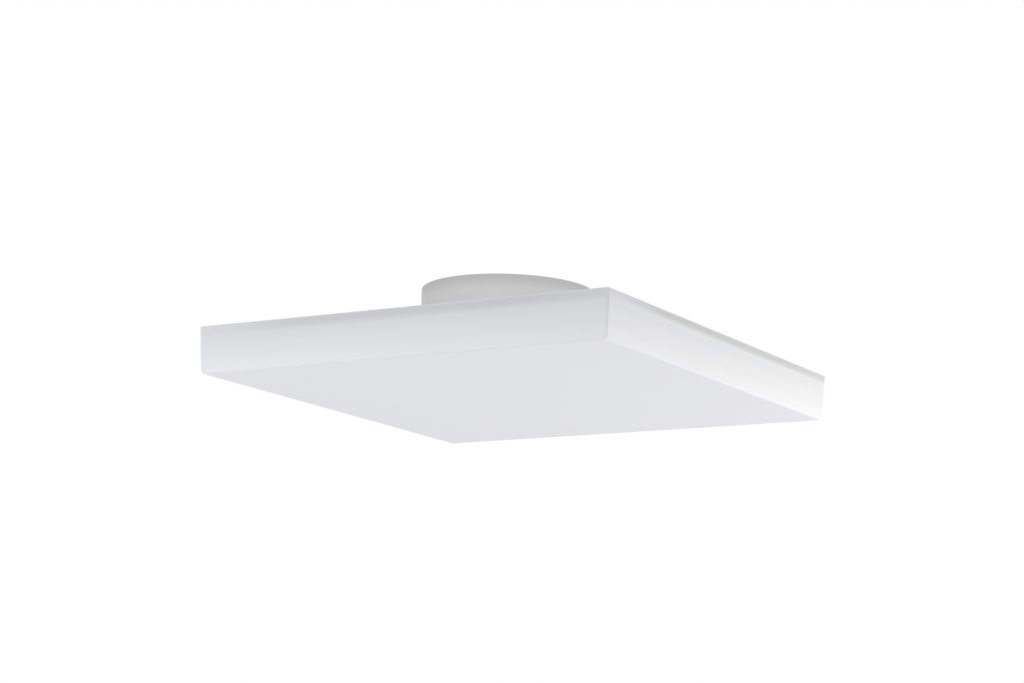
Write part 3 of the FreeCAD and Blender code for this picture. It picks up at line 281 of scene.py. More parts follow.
def place_along(finish, axis):
    """How far along an axis a place on the piece is."""
    split = finish.node_tree.nodes.new("ShaderNodeSeparateXYZ")
    finish.node_tree.links.new(on_piece(finish), split.inputs["Vector"])
    return split.outputs[axis]


def lay_over(finish, under, over_colour, share):
    """Lay a colour over another by a share."""
    mix = finish.node_tree.nodes.new("ShaderNodeMix")
    mix.data_type = "RGBA"
    finish.node_tree.links.new(share, mix.inputs[0])
    finish.node_tree.links.new(under, mix.inputs[6])
    mix.inputs[7].default_value = (*over_colour, 1)
    return mix.outputs[2]


def powder_coat(name, colours, peel_width, peel_depth, roughness, painted_shade_colour=None):
    """Powder coat: an even colour with faint patches, over a fine orange peel. It may carry painted shade:
    a darker colour towards an upper rim, where a ceiling would shade it."""
    finish, shader = new_finish(name, specular_ior_level=0.3)
    tree = finish.node_tree
    patches = clouds(finish, 30 * MM)
    coat = tint(finish, patches, (0.3, colours[0]), (0.7, colours[1]))
    if painted_shade_colour:
        # Painted shade: darker from 13 mm below the upper rim up to the rim, where a ceiling would shade the
        # cup.
        painted_shade = spread(finish, place_along(finish, "Z"), 0.0, 1.0, -13 * MM, 0)
        coat = lay_over(finish, coat, painted_shade_colour, painted_shade)
    tree.links.new(coat, shader.inputs["Base Color"])
    peel = clouds(finish, peel_width, detail=2.0)
    tree.links.new(spread(finish, peel, roughness - 0.05, roughness + 0.05), shader.inputs["Roughness"])
    emboss(finish, shader, peel, peel_depth)
    return finish


inner_heel = CANOPY_HEEL - CANOPY_SHEET
heel_middle = (CANOPY_RADIUS - CANOPY_HEEL, PAN_TOP + CANOPY_HEEL)
cup_profile = [(0, PAN_TOP)] + bow(heel_middle, CANOPY_HEEL, -90, 0, 8)
cup_profile += [(CANOPY_RADIUS, -CUT_EDGE), (CANOPY_RADIUS - CUT_EDGE, 0)]
cup_profile += [(CANOPY_RADIUS - CANOPY_SHEET + CUT_EDGE, 0), (CANOPY_RADIUS - CANOPY_SHEET, -CUT_EDGE)]
cup_profile += bow(heel_middle, inner_heel, 0, -90, 8) + [(0, PAN_TOP + CANOPY_SHEET)]
cup = bmesh.new()
turn(cup, Matrix.Identity(4), cup_profile, facets=160)
punches = bmesh.new()
floor_holes = [(BUSHING_PLACE, BUSHING_HOLE)] + [(place, RIVET_HOLE) for place in RIVET_PLACES]
floor_holes += [(place, DRIVER_SCREW_HOLE) for place in DRIVER_SCREW_PLACES]
for place, radius in floor_holes:
    punch = [(0, -1 * MM), (radius, -1 * MM), (radius, 2 * MM), (0, 2 * MM)]
    turn(punches, Matrix.Translation((*place, PAN_TOP)), punch, facets=32)
for way in (-1, 1):
    sideways = Matrix.Translation((0, 0, SIDE_SCREW_LEVEL)) @ Matrix.Rotation(way * math.pi / 2, 4, "X")
    punch = [(0, CANOPY_RADIUS - 3 * MM), (SIDE_HOLE, CANOPY_RADIUS - 3 * MM)]
    punch += [(SIDE_HOLE, CANOPY_RADIUS + 3 * MM), (0, CANOPY_RADIUS + 3 * MM)]
    turn(punches, sideways, punch, facets=32)
cup = cut_away(cup, punches)
# The canopy's coat is painted darker towards its upper rim, a painted shade where the ceiling would shade it.
canopy_coat = powder_coat("canopy_coat", ((0.725, 0.725, 0.73), (0.75, 0.75, 0.755)),
                          0.9 * MM, 0.02 * MM, 0.5, painted_shade_colour=(0.60, 0.60, 0.605))
finished(cup, "canopy_cup", canopy_coat, stands_for=["canopy"], sharp=40)

# Canopy side screws: two slotted screws through the canopy's wall into the strap's ears, painted to
# match the canopy. Each slot lies level.
SIDE_SCREW_LENGTH = 10 * MM


def gather(bm, other):
    """Add one mesh to another."""
    shape = bpy.data.meshes.new("gathered")
    other.to_mesh(shape)
    other.free()
    bm.from_mesh(shape)
    bpy.data.meshes.remove(shape)


side_screws = bmesh.new()
for way in (0, math.pi):
    inwards = Matrix.Rotation(way, 4, "Z") @ Matrix.Translation((0, -CANOPY_RADIUS, SIDE_SCREW_LEVEL))
    inwards = inwards @ Matrix.Rotation(-math.pi / 2, 4, "X")
    gather(side_screws, slotted_screw(inwards, SIDE_SCREW_LENGTH))
screw_coat = powder_coat("screw_coat", ((0.69, 0.685, 0.70), (0.73, 0.725, 0.74)),
                         0.7 * MM, 0.01 * MM, 0.38)
finished(side_screws, "side_screw_heads", screw_coat, stands_for=["canopy_side_screws"])

# Chassis pan: square steel plate with its four flanges folded down and open notches between them,
# and a hook lanced out of it for each LED bar. It is powder coated white, smoother than the canopy.
pan_coat = powder_coat("pan_coat", ((0.80, 0.80, 0.81), (0.83, 0.83, 0.83)), 1.4 * MM, 0.012 * MM, 0.36)
coat_node("chassis_pan", pan_coat)

# Canopy rivets: two blind aluminium rivets that join the canopy's floor to the pan. Each has a domed
# head with the pit of its pulled pin below, and a bulb above.
RIVET_SHANK = 1.6 * MM


def blind_rivet(bm, x, y, shank, grip):
    """A blind rivet through the sheets between the two levels of its grip."""
    low, high = grip
    head = shank * 1.9
    rise = shank * 0.6
    pit = shank * 0.55
    dome = bow((0, 0), 1, -62, 0, 6)
    top = dome[0][1]
    profile = [(0, -rise * 0.45), (pit, -rise * 0.45), (pit, -rise * 0.92)]
    profile += [(head * r, rise * z / -top) for r, z in dome]
    profile += [(head, 0), (shank, 0), (shank, high - low)]
    bulb = bow((0, high - low), 1, 0, 90, 5)
    profile += [(head * 0.86 * r, high - low + rise * (z - (high - low))) for r, z in bulb]
    profile[-1] = (0, high - low + rise)
    turn(bm, Matrix.Translation((x, y, low)), profile, facets=32)


rivet_metal = metal("rivet_metal", ((0.66, 0.67, 0.69), (0.71, 0.71, 0.72), (0.74, 0.73, 0.72)),
                    (1, 1, 1), 0.4 * MM, 0.38, 0.006 * MM)
canopy_rivets = bmesh.new()
for x, y in RIVET_PLACES:
    blind_rivet(canopy_rivets, x, y, RIVET_SHANK, (PAN_UNDERSIDE, PAN_TOP + CANOPY_SHEET))
finished(canopy_rivets, "canopy_rivet_heads", rivet_metal, stands_for=["canopy_rivets"])

# Driver: the power supply's two-part case, moulded in off-white plastic with a fine spark texture.
# Its mould softens every edge, and the two halves meet in a fine parting line.
MOULD_EDGE = 0.35 * MM


def softened(node, width):
    """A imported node's form with its crisp edges rounded off."""
    bm = bmesh.new()
    bm.from_mesh(nodes[node].data)
    bmesh.ops.remove_doubles(bm, verts=bm.verts, dist=0.001 * MM)
    bmesh.ops.dissolve_limit(bm, angle_limit=math.radians(1), verts=bm.verts, edges=bm.edges)
    folds = [edge for edge in bm.edges if len(edge.link_faces) == 2]
    crisp = [edge for edge in folds if edge.calc_face_angle() > math.radians(30)]
    bmesh.ops.bevel(bm, geom=crisp, offset=width, segments=2, profile=0.5, affect="EDGES", clamp_overlap=True)
    return bm


def moulded(name, colours, grain, depth, roughness, **sockets):
    """Moulded plastic: an even colour with faint flow marks, over the mould's spark texture."""
    finish, shader = new_finish(name, **sockets)
    tree = finish.node_tree
    flow = clouds(finish, 14 * MM, detail=2.0)
    tree.links.new(tint(finish, flow, (0.3, colours[0]), (0.7, colours[1])), shader.inputs["Base Color"])
    spark = clouds(finish, grain, detail=3.0)
    tree.links.new(spread(finish, spark, roughness - 0.06, roughness + 0.06), shader.inputs["Roughness"])
    emboss(finish, shader, spark, depth)
    return finish


driver_plastic = moulded("driver_plastic", ((0.78, 0.78, 0.75), (0.81, 0.81, 0.785)),
                         0.35 * MM, 0.03 * MM, 0.55)
for half in ("driver_base", "driver_cover"):
    case = softened(half, MOULD_EDGE)
    finished(case, half + "_case", driver_plastic, stands_for=[half], sharp=50)

# Terminals: push-in blocks in the driver's ends, moulded in nylon, with a sprung brass leaf at the
# back of each wire entry and a lever behind each release slot.
ENTRY_LEVEL = -39.7 * MM
RELEASE_LEVEL = -34.9 * MM
TERMINALS = (
    ("supply_terminal", 50, 1, (-7, 0, 7), 3.4, 2.4),
    ("output_terminal", -34, -1, (-2, 2), 2.0, 1.4),
)
TERMINAL_EDGE = 0.25 * MM
LEAF_SHEET = 0.12 * MM
LEAF_LINE = ((5.9, 0.45), (4.6, 0.45), (3.4, 0.1), (2.6, -0.32), (2.9, -0.42))
LEVER_INSET = 1.9
LEVER_SIZE = (2.0, 1.4)
terminal_nylon = moulded("terminal_nylon", ((0.63, 0.62, 0.57), (0.67, 0.66, 0.61)),
                         0.6 * MM, 0.01 * MM, 0.36)
lever_nylon = moulded("lever_nylon", ((0.72, 0.30, 0.06), (0.76, 0.34, 0.08)), 0.5 * MM, 0.01 * MM, 0.38)
brass = metal("tinned_brass", ((0.72, 0.66, 0.52), (0.76, 0.72, 0.62), (0.78, 0.76, 0.70)),
              (1, 1, 0.1), 0.3 * MM, 0.28, 0.004 * MM)
leaves = bmesh.new()
levers = bmesh.new()
for node, end, way, poles, entry, release in TERMINALS:
    finished(softened(node, TERMINAL_EDGE), node + "_block", terminal_nylon,
             stands_for=[node], sharp=50)
    for pole in poles:
        # The leaf leans across the entry from its roof, and bends back under itself.
        rings = []
        for inset, rise in LEAF_LINE:
            x = (end - way * inset) * MM
            z = ENTRY_LEVEL + rise * entry * MM
            wide = entry * 0.32 * MM
            corners = ((-wide, 0), (wide, 0), (wide, LEAF_SHEET), (-wide, LEAF_SHEET))
            rings.append([leaves.verts.new((x, pole * MM + across, z + up)) for across, up in corners])
        join_rings(leaves, rings)
        seat = Vector(((end - way * LEVER_INSET) * MM, pole * MM, RELEASE_LEVEL))
        for corner in bmesh.ops.create_cube(levers, size=1)["verts"]:
            narrow = 0.82 if corner.co.x * way > 0 else 0.92
            reach = Vector((LEVER_SIZE[0], release * narrow, LEVER_SIZE[1] * narrow)) * MM
            corner.co = seat + reach * corner.co
finished(leaves, "terminal_leaves", brass)
finished(levers, "terminal_levers", lever_nylon)

# Driver screws: two cross-recessed pan-head screws through the driver's ears, the canopy's floor and
# the pan, in zinc-plated steel.
SMALL_SHANK = 1.45 * MM
SMALL_HEAD = 2.8 * MM
SMALL_HEAD_HEIGHT = 1.8 * MM
SMALL_PITCH = 1.06 * MM
RECESS_MOUTH = (3.5 * MM, 0.85 * MM, -0.3 * MM)
RECESS_FLOOR = (1.9 * MM, 0.5 * MM, 1.25 * MM)
DRIVER_EAR_TOP = -44.5 * MM
DRIVER_SCREW_LENGTH = 6.5 * MM


def cross_screw(place, length):
    """A pan head with a tapered cross recess, on a threaded shank that points up."""
    corner = 0.8 * MM
    soft_edge = 0.1 * MM
    crown = bow((SMALL_HEAD - corner, -SMALL_HEAD_HEIGHT + corner + 0.12 * MM), corner, -84, 0, 5)
    profile = [(0, -SMALL_HEAD_HEIGHT)] + crown
    profile += [(SMALL_HEAD, -soft_edge), (SMALL_HEAD - soft_edge, 0), (0, 0)]
    screw = bmesh.new()
    turn(screw, Matrix.Identity(4), profile, facets=40)
    for quarter in range(2):
        wing = bmesh.new()
        for tip in bmesh.ops.create_cube(wing, size=1)["verts"]:
            long, wide, deep = RECESS_FLOOR if tip.co.z > 0 else RECESS_MOUTH
            reach = Vector((tip.co.x * long, tip.co.y * wide, deep - SMALL_HEAD_HEIGHT))
            tip.co = Matrix.Rotation(quarter * math.pi / 2, 4, "Z") @ reach
        screw = cut_away(screw, wing)
    cut_thread(screw, Matrix.Identity(4), SMALL_SHANK, SMALL_SHANK * 0.76, SMALL_PITCH, THREAD_START, length)
    screw.transform(place)
    return screw


screw_zinc = metal("screw_zinc", ZINC, (1, 1, 1), 0.4 * MM, 0.30, 0.006 * MM)
driver_screws = bmesh.new()
for place, twist in zip(DRIVER_SCREW_PLACES, (0.4, 1.1)):
    downwards = Matrix.Translation((*place, DRIVER_EAR_TOP)) @ Matrix.Rotation(math.pi, 4, "X")
    gather(driver_screws, cross_screw(downwards @ Matrix.Rotation(twist, 4, "Z"), DRIVER_SCREW_LENGTH))
finished(driver_screws, "driver_screw_heads", screw_zinc, stands_for=["driver_screws"])

# Lead bushing: a black rubber ring snapped into the hole in the canopy's floor and the pan, with
# rounded lips that keep the sheet's edge off the leads.
BORE = 2.5 * MM
WAIST = 4.0 * MM
LIP = 5.0 * MM
LIP_ROUND = 0.55 * MM
LIP_HEIGHT = 1.2 * MM
floor_top = PAN_TOP + CANOPY_SHEET
low, high = PAN_UNDERSIDE - LIP_HEIGHT, floor_top + LIP_HEIGHT
ring = bow((BORE + LIP_ROUND, low + LIP_ROUND), LIP_ROUND, 180, 270, 4)
ring += bow((LIP - LIP_ROUND, low + LIP_ROUND), LIP_ROUND, 270, 360, 4)
ring += [(LIP, PAN_UNDERSIDE), (WAIST, PAN_UNDERSIDE), (WAIST, floor_top), (LIP, floor_top)]
ring += bow((LIP - LIP_ROUND, high - LIP_ROUND), LIP_ROUND, 0, 90, 4)
ring += bow((BORE + LIP_ROUND, high - LIP_ROUND), LIP_ROUND, 90, 180, 4)
bushing = bmesh.new()
turn(bushing, Matrix.Translation((*BUSHING_PLACE, 0)), ring, facets=48, closed=True)
rubber = moulded("bushing_rubber", ((0.022, 0.022, 0.023), (0.034, 0.033, 0.032)), 0.5 * MM, 0.01 * MM, 0.62)
finished(bushing, "bushing_ring", rubber, stands_for=["lead_bushing"])

# LED bars: aluminium boards under a white solder mask. The mask dips over the fine gaps that part the
# copper below it, one across the board at every LED.
BAR_XS = (-120 * MM, -40 * MM, 40 * MM, 120 * MM)
BAR_UNDERSIDE = -50.4 * MM
LED_PITCH = 27 * MM
LED_COUNT = 10
FIRST_LED_Y = -CANOPY_OFFSET - LED_PITCH * (LED_COUNT - 1) / 2


def number(finish, kind, first, second=None):
    """One step of arithmetic on a value in a finish."""
    step = finish.node_tree.nodes.new("ShaderNodeMath")
    step.operation = kind
    for socket, value in zip(step.inputs, (first, second)):
        if isinstance(value, (int, float)):
            socket.default_value = value
        elif value is not None:
            finish.node_tree.links.new(value, socket)
    return step.outputs[0]


board_mask, board_shader = new_finish("board_mask", coat_weight=0.3, coat_roughness=0.18)
board_tree = board_mask.node_tree
along_board = number(board_mask, "SUBTRACT", place_along(board_mask, "Y"), FIRST_LED_Y - LED_PITCH / 2)
share = number(board_mask, "FRACT", number(board_mask, "DIVIDE", along_board, LED_PITCH))
from_led = number(board_mask, "ABSOLUTE", number(board_mask, "SUBTRACT", share, 0.5))
gap = spread(board_mask, from_led, 0.0, 1.0, 0.006, 0.014)
board_speck = clouds(board_mask, 0.8 * MM)
mask_white = tint(board_mask, gap, (0, (0.70, 0.71, 0.70)), (1, (0.83, 0.83, 0.825)))
board_tree.links.new(mask_white, board_shader.inputs["Base Color"])
board_tree.links.new(spread(board_mask, board_speck, 0.26, 0.36), board_shader.inputs["Roughness"])
emboss(board_mask, board_shader, gap, 0.03 * MM)
for bar in range(len(BAR_XS)):
    coat_node(f"led_bar_{bar + 1}", board_mask)

# LEDs: a white moulded frame with a chamfered corner, a cup filled with yellow gel over the chip, and
# a bright fillet of solder at each end.
LED_ACROSS = 3.5 * MM
LED_ALONG = 2.8 * MM
LED_HEIGHT = 0.7 * MM
CUP_DEPTH = 0.25 * MM
SOLDER_SLOPE = ((0, 0.32), (0.08, 0.16), (0.22, 0.06), (0.5, 0.0), (0.0, 0.0))


def soft_square(bm, middle, half_x, half_y, corner, level, steps=3):
    """A ring of points round a rectangle with rounded corners, at a level."""
    points = []
    for quarter, (sign_x, sign_y) in enumerate(((1, 1), (-1, 1), (-1, -1), (1, -1))):
        for step in range(steps + 1):
            angle = math.pi / 2 * (quarter + step / steps)
            x = sign_x * (half_x - corner) + corner * math.cos(angle)
            y = sign_y * (half_y - corner) + corner * math.sin(angle)
            points.append(bm.verts.new((middle[0] + x, middle[1] + y, level)))
    return points


frames = bmesh.new()
lenses = bmesh.new()
solder_beads = bmesh.new()
face = BAR_UNDERSIDE - LED_HEIGHT
for bar_x in BAR_XS:
    for step in range(LED_COUNT):
        middle = (bar_x, FIRST_LED_Y + LED_PITCH * step)
        rings = [[frames.verts.new((*middle, BAR_UNDERSIDE))]]
        for half_x, half_y, corner, level in (
            (LED_ACROSS / 2, LED_ALONG / 2, 0.15 * MM, BAR_UNDERSIDE),
            (LED_ACROSS / 2, LED_ALONG / 2, 0.15 * MM, face + 0.08 * MM),
            (LED_ACROSS / 2 - 0.08 * MM, LED_ALONG / 2 - 0.08 * MM, 0.12 * MM, face),
            (1.38 * MM, 1.08 * MM, 0.55 * MM, face),
            (1.18 * MM, 0.88 * MM, 0.45 * MM, face + CUP_DEPTH),
        ):
            rings.append(soft_square(frames, middle, half_x, half_y, corner, level))
        rings.append([frames.verts.new((*middle, face + CUP_DEPTH))])
        join_rings(frames, rings)
        gel = [soft_square(lenses, middle, 1.34 * MM, 1.04 * MM, 0.53 * MM, face + 0.05 * MM)]
        gel.append(soft_square(lenses, middle, 0.8 * MM, 0.6 * MM, 0.4 * MM, face + 0.09 * MM))
        gel.append([lenses.verts.new((*middle, face + 0.1 * MM))])
        join_rings(lenses, gel)
        for way in (-1, 1):
            beads = []
            for y in (middle[1] - 1 * MM, middle[1] + 1 * MM):
                x0 = middle[0] + way * LED_ACROSS / 2
                slope = [(x0 + way * out * MM, y, BAR_UNDERSIDE - rise * MM) for out, rise in SOLDER_SLOPE]
                beads.append([solder_beads.verts.new(point) for point in slope])
            join_rings(solder_beads, beads)
            for end in beads:
                solder_beads.faces.new(end)
frame_white = moulded("led_frame_white", ((0.84, 0.84, 0.82), (0.86, 0.86, 0.84)),
                      0.5 * MM, 0.004 * MM, 0.4)
finished(frames, "led_frames", frame_white, stands_for=["leds"])
gel_yellow, gel_shader = new_finish("gel_yellow", roughness=0.22, coat_weight=0.5, coat_roughness=0.1)
gel_grain = clouds(gel_yellow, 0.25 * MM)
gel_colour = tint(gel_yellow, gel_grain, (0.35, (0.78, 0.62, 0.14)), (0.65, (0.84, 0.71, 0.22)))
gel_yellow.node_tree.links.new(gel_colour, gel_shader.inputs["Base Color"])
finished(lenses, "led_gel", gel_yellow)
solder = metal("solder", ((0.68, 0.69, 0.70), (0.74, 0.74, 0.74), (0.76, 0.76, 0.75)),
               (1, 1, 1), 0.2 * MM, 0.22, 0.004 * MM)
finished(solder_beads, "led_solder", solder)

# Bar screws: one cross-recessed screw of zinc-plated steel through the rear end of each LED bar. It
# cuts its own thread in the pan, and the bar's front end sits under the pan's hook.
BAR_SCREW_Y = 94.6 * MM
BAR_SCREW_LENGTH = 4.0 * MM
bar_screws = bmesh.new()
for bar_x, twist in zip(BAR_XS, (0.2, 1.3, 0.7, 0.5)):
    upwards = Matrix.Translation((bar_x, BAR_SCREW_Y, BAR_UNDERSIDE)) @ Matrix.Rotation(twist, 4, "Z")
    gather(bar_screws, cross_screw(upwards, BAR_SCREW_LENGTH))
finished(bar_screws, "bar_screw_heads", screw_zinc, stands_for=["bar_screws"])

# Bar connectors: two-pole nylon connectors soldered to the boards, with square entries for the leads
# and a tinned tab at each end of their feet.
CONNECTORS = ((0, -1), (0, 1), (1, 1), (1, -1), (2, -1), (2, 1), (3, 1))
CONNECTOR_Y = 140 * MM
CONNECTOR_EDGE = 0.3 * MM
TAB_SIZE = Vector((1.6, 1.0, 0.3)) * MM
TAB_ACROSS = 1.9 * MM
TAB_ALONG = 4.5 * MM
connector_nylon = moulded("connector_nylon", ((0.76, 0.75, 0.69), (0.79, 0.78, 0.72)),
                          0.5 * MM, 0.008 * MM, 0.4)
finished(softened("bar_connectors", CONNECTOR_EDGE), "connector_blocks", connector_nylon,
         stands_for=["bar_connectors"], sharp=50)
tabs = bmesh.new()
for bar, end in CONNECTORS:
    for way in (-1, 1):
        for side in (-1, 1):
            x = BAR_XS[bar] + side * TAB_ACROSS
            y = end * CONNECTOR_Y - CANOPY_OFFSET + way * TAB_ALONG
            foot = Vector((x, y, BAR_UNDERSIDE - TAB_SIZE.z / 2))
            for corner in bmesh.ops.create_cube(tabs, size=1)["verts"]:
                slim = 0.7 if corner.co.z < 0 else 1.0
                corner.co = foot + corner.co * TAB_SIZE * Vector((slim, slim, 1))
finished(tabs, "connector_tabs", solder)

# Jumper leads: three pairs of red and black sleeved wires from bar to bar, which dip to rest on the
# pan between their connectors.
LEAD_RADIUS = 0.75 * MM
LEAD_PITCH = 2.5 * MM
PLUG_LEVEL = -52.4 * MM
PLUG_INSET = 1 * MM
REST_LEVEL = PAN_UNDERSIDE - 0.1 * MM - LEAD_RADIUS
HALF_ROUTE = ((0, PLUG_LEVEL), (4 * MM, PLUG_LEVEL), (9 * MM, PLUG_LEVEL), (21 * MM, REST_LEVEL))


def sleeve(name, dark, light):
    """A soft sleeve drawn over its wire, with faint drawing streaks."""
    finish, shader = new_finish(name, coat_weight=0.2, coat_roughness=0.25)
    tree = finish.node_tree
    streaks = clouds(finish, 0.6 * MM, detail=3.0)
    tree.links.new(tint(finish, streaks, (0.3, dark), (0.7, light)), shader.inputs["Base Color"])
    tree.links.new(spread(finish, streaks, 0.34, 0.46), shader.inputs["Roughness"])
    emboss(finish, shader, streaks, 0.008 * MM)
    return finish


def lead(name, routes, finish, stands_for=()):
    """Sleeved wires, each on one smooth line along its route."""
    line = bpy.data.curves.new(name, "CURVE")
    line.dimensions = "3D"
    line.bevel_depth = LEAD_RADIUS
    line.bevel_resolution = 4
    line.use_fill_caps = True
    for route in routes:
        wire = line.splines.new("NURBS")
        wire.points.add(len(route) - 1)
        for point, place in zip(wire.points, route):
            point.co = (*place, 1)
        wire.order_u = 3
        wire.use_endpoint_u = True
        wire.resolution_u = 12
    line.materials.append(finish)
    piece = bpy.data.objects.new(name, line)
    bpy.context.scene.collection.objects.link(piece)
    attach(piece, "fixture")
    if stands_for:
        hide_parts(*stands_for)
    return piece


red_sleeve = sleeve("red_sleeve", (0.50, 0.025, 0.025), (0.60, 0.04, 0.035))
black_sleeve = sleeve("black_sleeve", (0.016, 0.016, 0.017), (0.03, 0.03, 0.03))
jumpers = {-1: [], 1: []}
for gap_number, end in enumerate((1, -1, 1)):
    for side in (-1, 1):
        y = end * CONNECTOR_Y - CANOPY_OFFSET + side * LEAD_PITCH / 2
        x1, x2 = BAR_XS[gap_number] + PLUG_INSET, BAR_XS[gap_number + 1] - PLUG_INSET
        route = [(x1 + run, y, z) for run, z in HALF_ROUTE]
        route += [(x2 - run, y, z) for run, z in reversed(HALF_ROUTE)]
        jumpers[side].append(route)
lead("jumpers_red", jumpers[1], red_sleeve, stands_for=["jumper_leads"])
lead("jumpers_black", jumpers[-1], black_sleeve)

# Feed leads: a red and a black wire from the driver's output, down through the bushing, along the pan
# under two clips, and into the first bar's connector.
CLIP_LEVEL = PAN_UNDERSIDE - 1.1 * MM - LEAD_RADIUS
LANE_X = -80 * MM
FEED_SPREAD = 1.05 * MM
for name, side, finish in (("red", 1, red_sleeve), ("black", -1, black_sleeve)):
    pair = side * FEED_SPREAD
    out_y, out_z = side * 2 * MM, ENTRY_LEVEL
    bush_x, bush_y = BUSHING_PLACE[0] - pair, BUSHING_PLACE[1]
    lane_x = LANE_X - pair
    plug_x = BAR_XS[0] + PLUG_INSET
    plug_y = -CONNECTOR_Y - CANOPY_OFFSET + side * LEAD_PITCH / 2
    feed = [
        (-28 * MM, out_y, out_z),
        (-36 * MM, out_y, out_z),
        (-43 * MM - 2 * side * MM, out_y, out_z),
        (bush_x, bush_y + 12 * MM, out_z - 1 * MM),
        (bush_x, bush_y, out_z - 3 * MM),
        (bush_x, bush_y, PAN_UNDERSIDE - 7 * MM),
        (lane_x, -50 * MM, CLIP_LEVEL),
        (lane_x, -68 * MM, CLIP_LEVEL),
        (lane_x, -119 * MM, CLIP_LEVEL),
        (lane_x, -131 * MM, CLIP_LEVEL),
        (lane_x - 12 * MM, plug_y, PLUG_LEVEL),
        (plug_x + 6 * MM, plug_y, PLUG_LEVEL),
        (plug_x, plug_y, PLUG_LEVEL),
    ]
    lead(f"feed_{name}", [feed], finish, stands_for=[f"feed_lead_{name}"])

# Lead clips: two saddles moulded in off-white nylon with rounded edges. They are stuck to the pan's
# underside and hold the feed leads side by side.
SADDLE_EDGE = 0.3 * MM
clip_nylon = moulded("clip_nylon", ((0.79, 0.79, 0.76), (0.82, 0.82, 0.79)), 0.5 * MM, 0.008 * MM, 0.42)
finished(softened("lead_clips", SADDLE_EDGE), "lead_saddles", clip_nylon,
         stands_for=["lead_clips"], sharp=50)

# Spring clips: four strips of spring steel under the pan. Each leg hangs inside its flange and bends
# out in a barb under the diffuser's ledge, then back in to a lead with clipped corners.
STRIP_HALF = 0.25 * MM
STRIP_WIDTH = 14 * MM
STRIP_CORNER = 1.2 * MM
CLIP_LINE = (
    (151.91, -49.45, 0),
    (170.91, -49.45, 1.0),
    (170.91, -60.15, 0.8),
    (173.71, -63.55, 0.9),
    (169.91, -68.15, 0),
)
spring_steel = metal("spring_steel", ((0.42, 0.43, 0.45), (0.50, 0.50, 0.50), (0.52, 0.51, 0.48)),
                     (1, 1, 0.06), 0.4 * MM, 0.26, 0.006 * MM)


def rounded_line(corners, steps=5):
    """The corners of a bent strip's middle line, each rounded to its own radius."""
    points = [Vector((r, z)) * MM for r, z, bend in corners]
    line = [points[0]]
    for before, corner, after, (r, z, bend) in zip(points, points[1:], points[2:], corners[1:]):
        run_in, run_out = (corner - before).normalized(), (after - corner).normalized()
        half_turn = run_in.angle(run_out) / 2
        reach = bend * MM * math.tan(half_turn)
        start, finish = corner - run_in * reach, corner + run_out * reach
        for step in range(steps + 1):
            share = step / steps
            line.append(start.lerp(corner, share).lerp(corner.lerp(finish, share), share))
    return line + [points[-1]]


for name, quarter in (("right", 0), ("rear", 1), ("left", 2), ("front", 3)):
    place = Matrix.Translation((0, -CANOPY_OFFSET, 0)) @ Matrix.Rotation(quarter * math.pi / 2, 4, "Z")
    line = rounded_line(CLIP_LINE)
    line.insert(-1, line[-1] + (line[-2] - line[-1]).normalized() * STRIP_CORNER)
    line.insert(1, line[0] + Vector((STRIP_CORNER, 0)))
    strip = bmesh.new()
    rings = []
    for step, point in enumerate(line):
        ahead = (line[min(step + 1, len(line) - 1)] - line[max(step - 1, 0)]).normalized()
        off = Vector((ahead.y, -ahead.x)) * STRIP_HALF
        wide = STRIP_WIDTH / 2 - (STRIP_CORNER if step in (0, len(line) - 1) else 0)
        corners = ((point + off, wide), (point + off, -wide), (point - off, -wide), (point - off, wide))
        rings.append([strip.verts.new(place @ Vector((at.x, across, at.y))) for at, across in corners])
    join_rings(strip, rings)
    strip.faces.new(rings[0])
    strip.faces.new(rings[-1])
    finished(strip, f"clip_strip_{name}", spring_steel, stands_for=[f"spring_clip_{name}"])

# Clip rivets: one blind aluminium rivet through the pan and the foot of each spring clip, with its
# domed head below the foot and its bulb above the pan.
CLIP_RIVET_REACH = 161.91 * MM
CLIP_RIVET_SHANK = 1.45 * MM
clip_rivets = bmesh.new()
grip = (PAN_UNDERSIDE - STRIP_HALF * 2, PAN_TOP)
for quarter in range(4):
    spot = Matrix.Rotation(quarter * math.pi / 2, 4, "Z") @ Vector((CLIP_RIVET_REACH, 0, 0))
    blind_rivet(clip_rivets, spot.x, spot.y - CANOPY_OFFSET, CLIP_RIVET_SHANK, grip)
finished(clip_rivets, "clip_rivet_heads", rivet_metal, stands_for=["clip_rivets"])

# Diffuser: a shallow tray moulded from opal acrylic, satin outside, with drafted walls, soft edges and
# a ledge inside each wall, on two gussets, for the clip's barb. Its colour carries painted shade and
# light: a soft grey band of painted shade below the rim, where the pan's flange stands behind the wall,
# a wall painted darker near the top and lighter towards the bottom, and painted highlights along the
# rim and the lower edge.
RIM = 177.8 * MM
DEPTH = 36.2 * MM
LEAN = 0.04891
WALL = 2.5 * MM
EDGE_ROUND = 2.5 * MM
RIM_ROUND = 0.5 * MM
LEDGE_FACE = 171.56 * MM
LEDGE_TOP = PAN_TOP - 9 * MM
LEDGE_RISE = 2.5 * MM
LEDGE_HALF = 20 * MM
GUSSET_PLACE = 15 * MM
GUSSET_HALF = 0.8 * MM
GUSSET_DROP = 6 * MM


def tray_ring(bm, half, corner, depth, steps=8):
    """One level of the tray: a square with rounded corners, so far below the rim."""
    return soft_square(bm, (0, -CANOPY_OFFSET), half, half, corner, PAN_TOP - depth, steps)


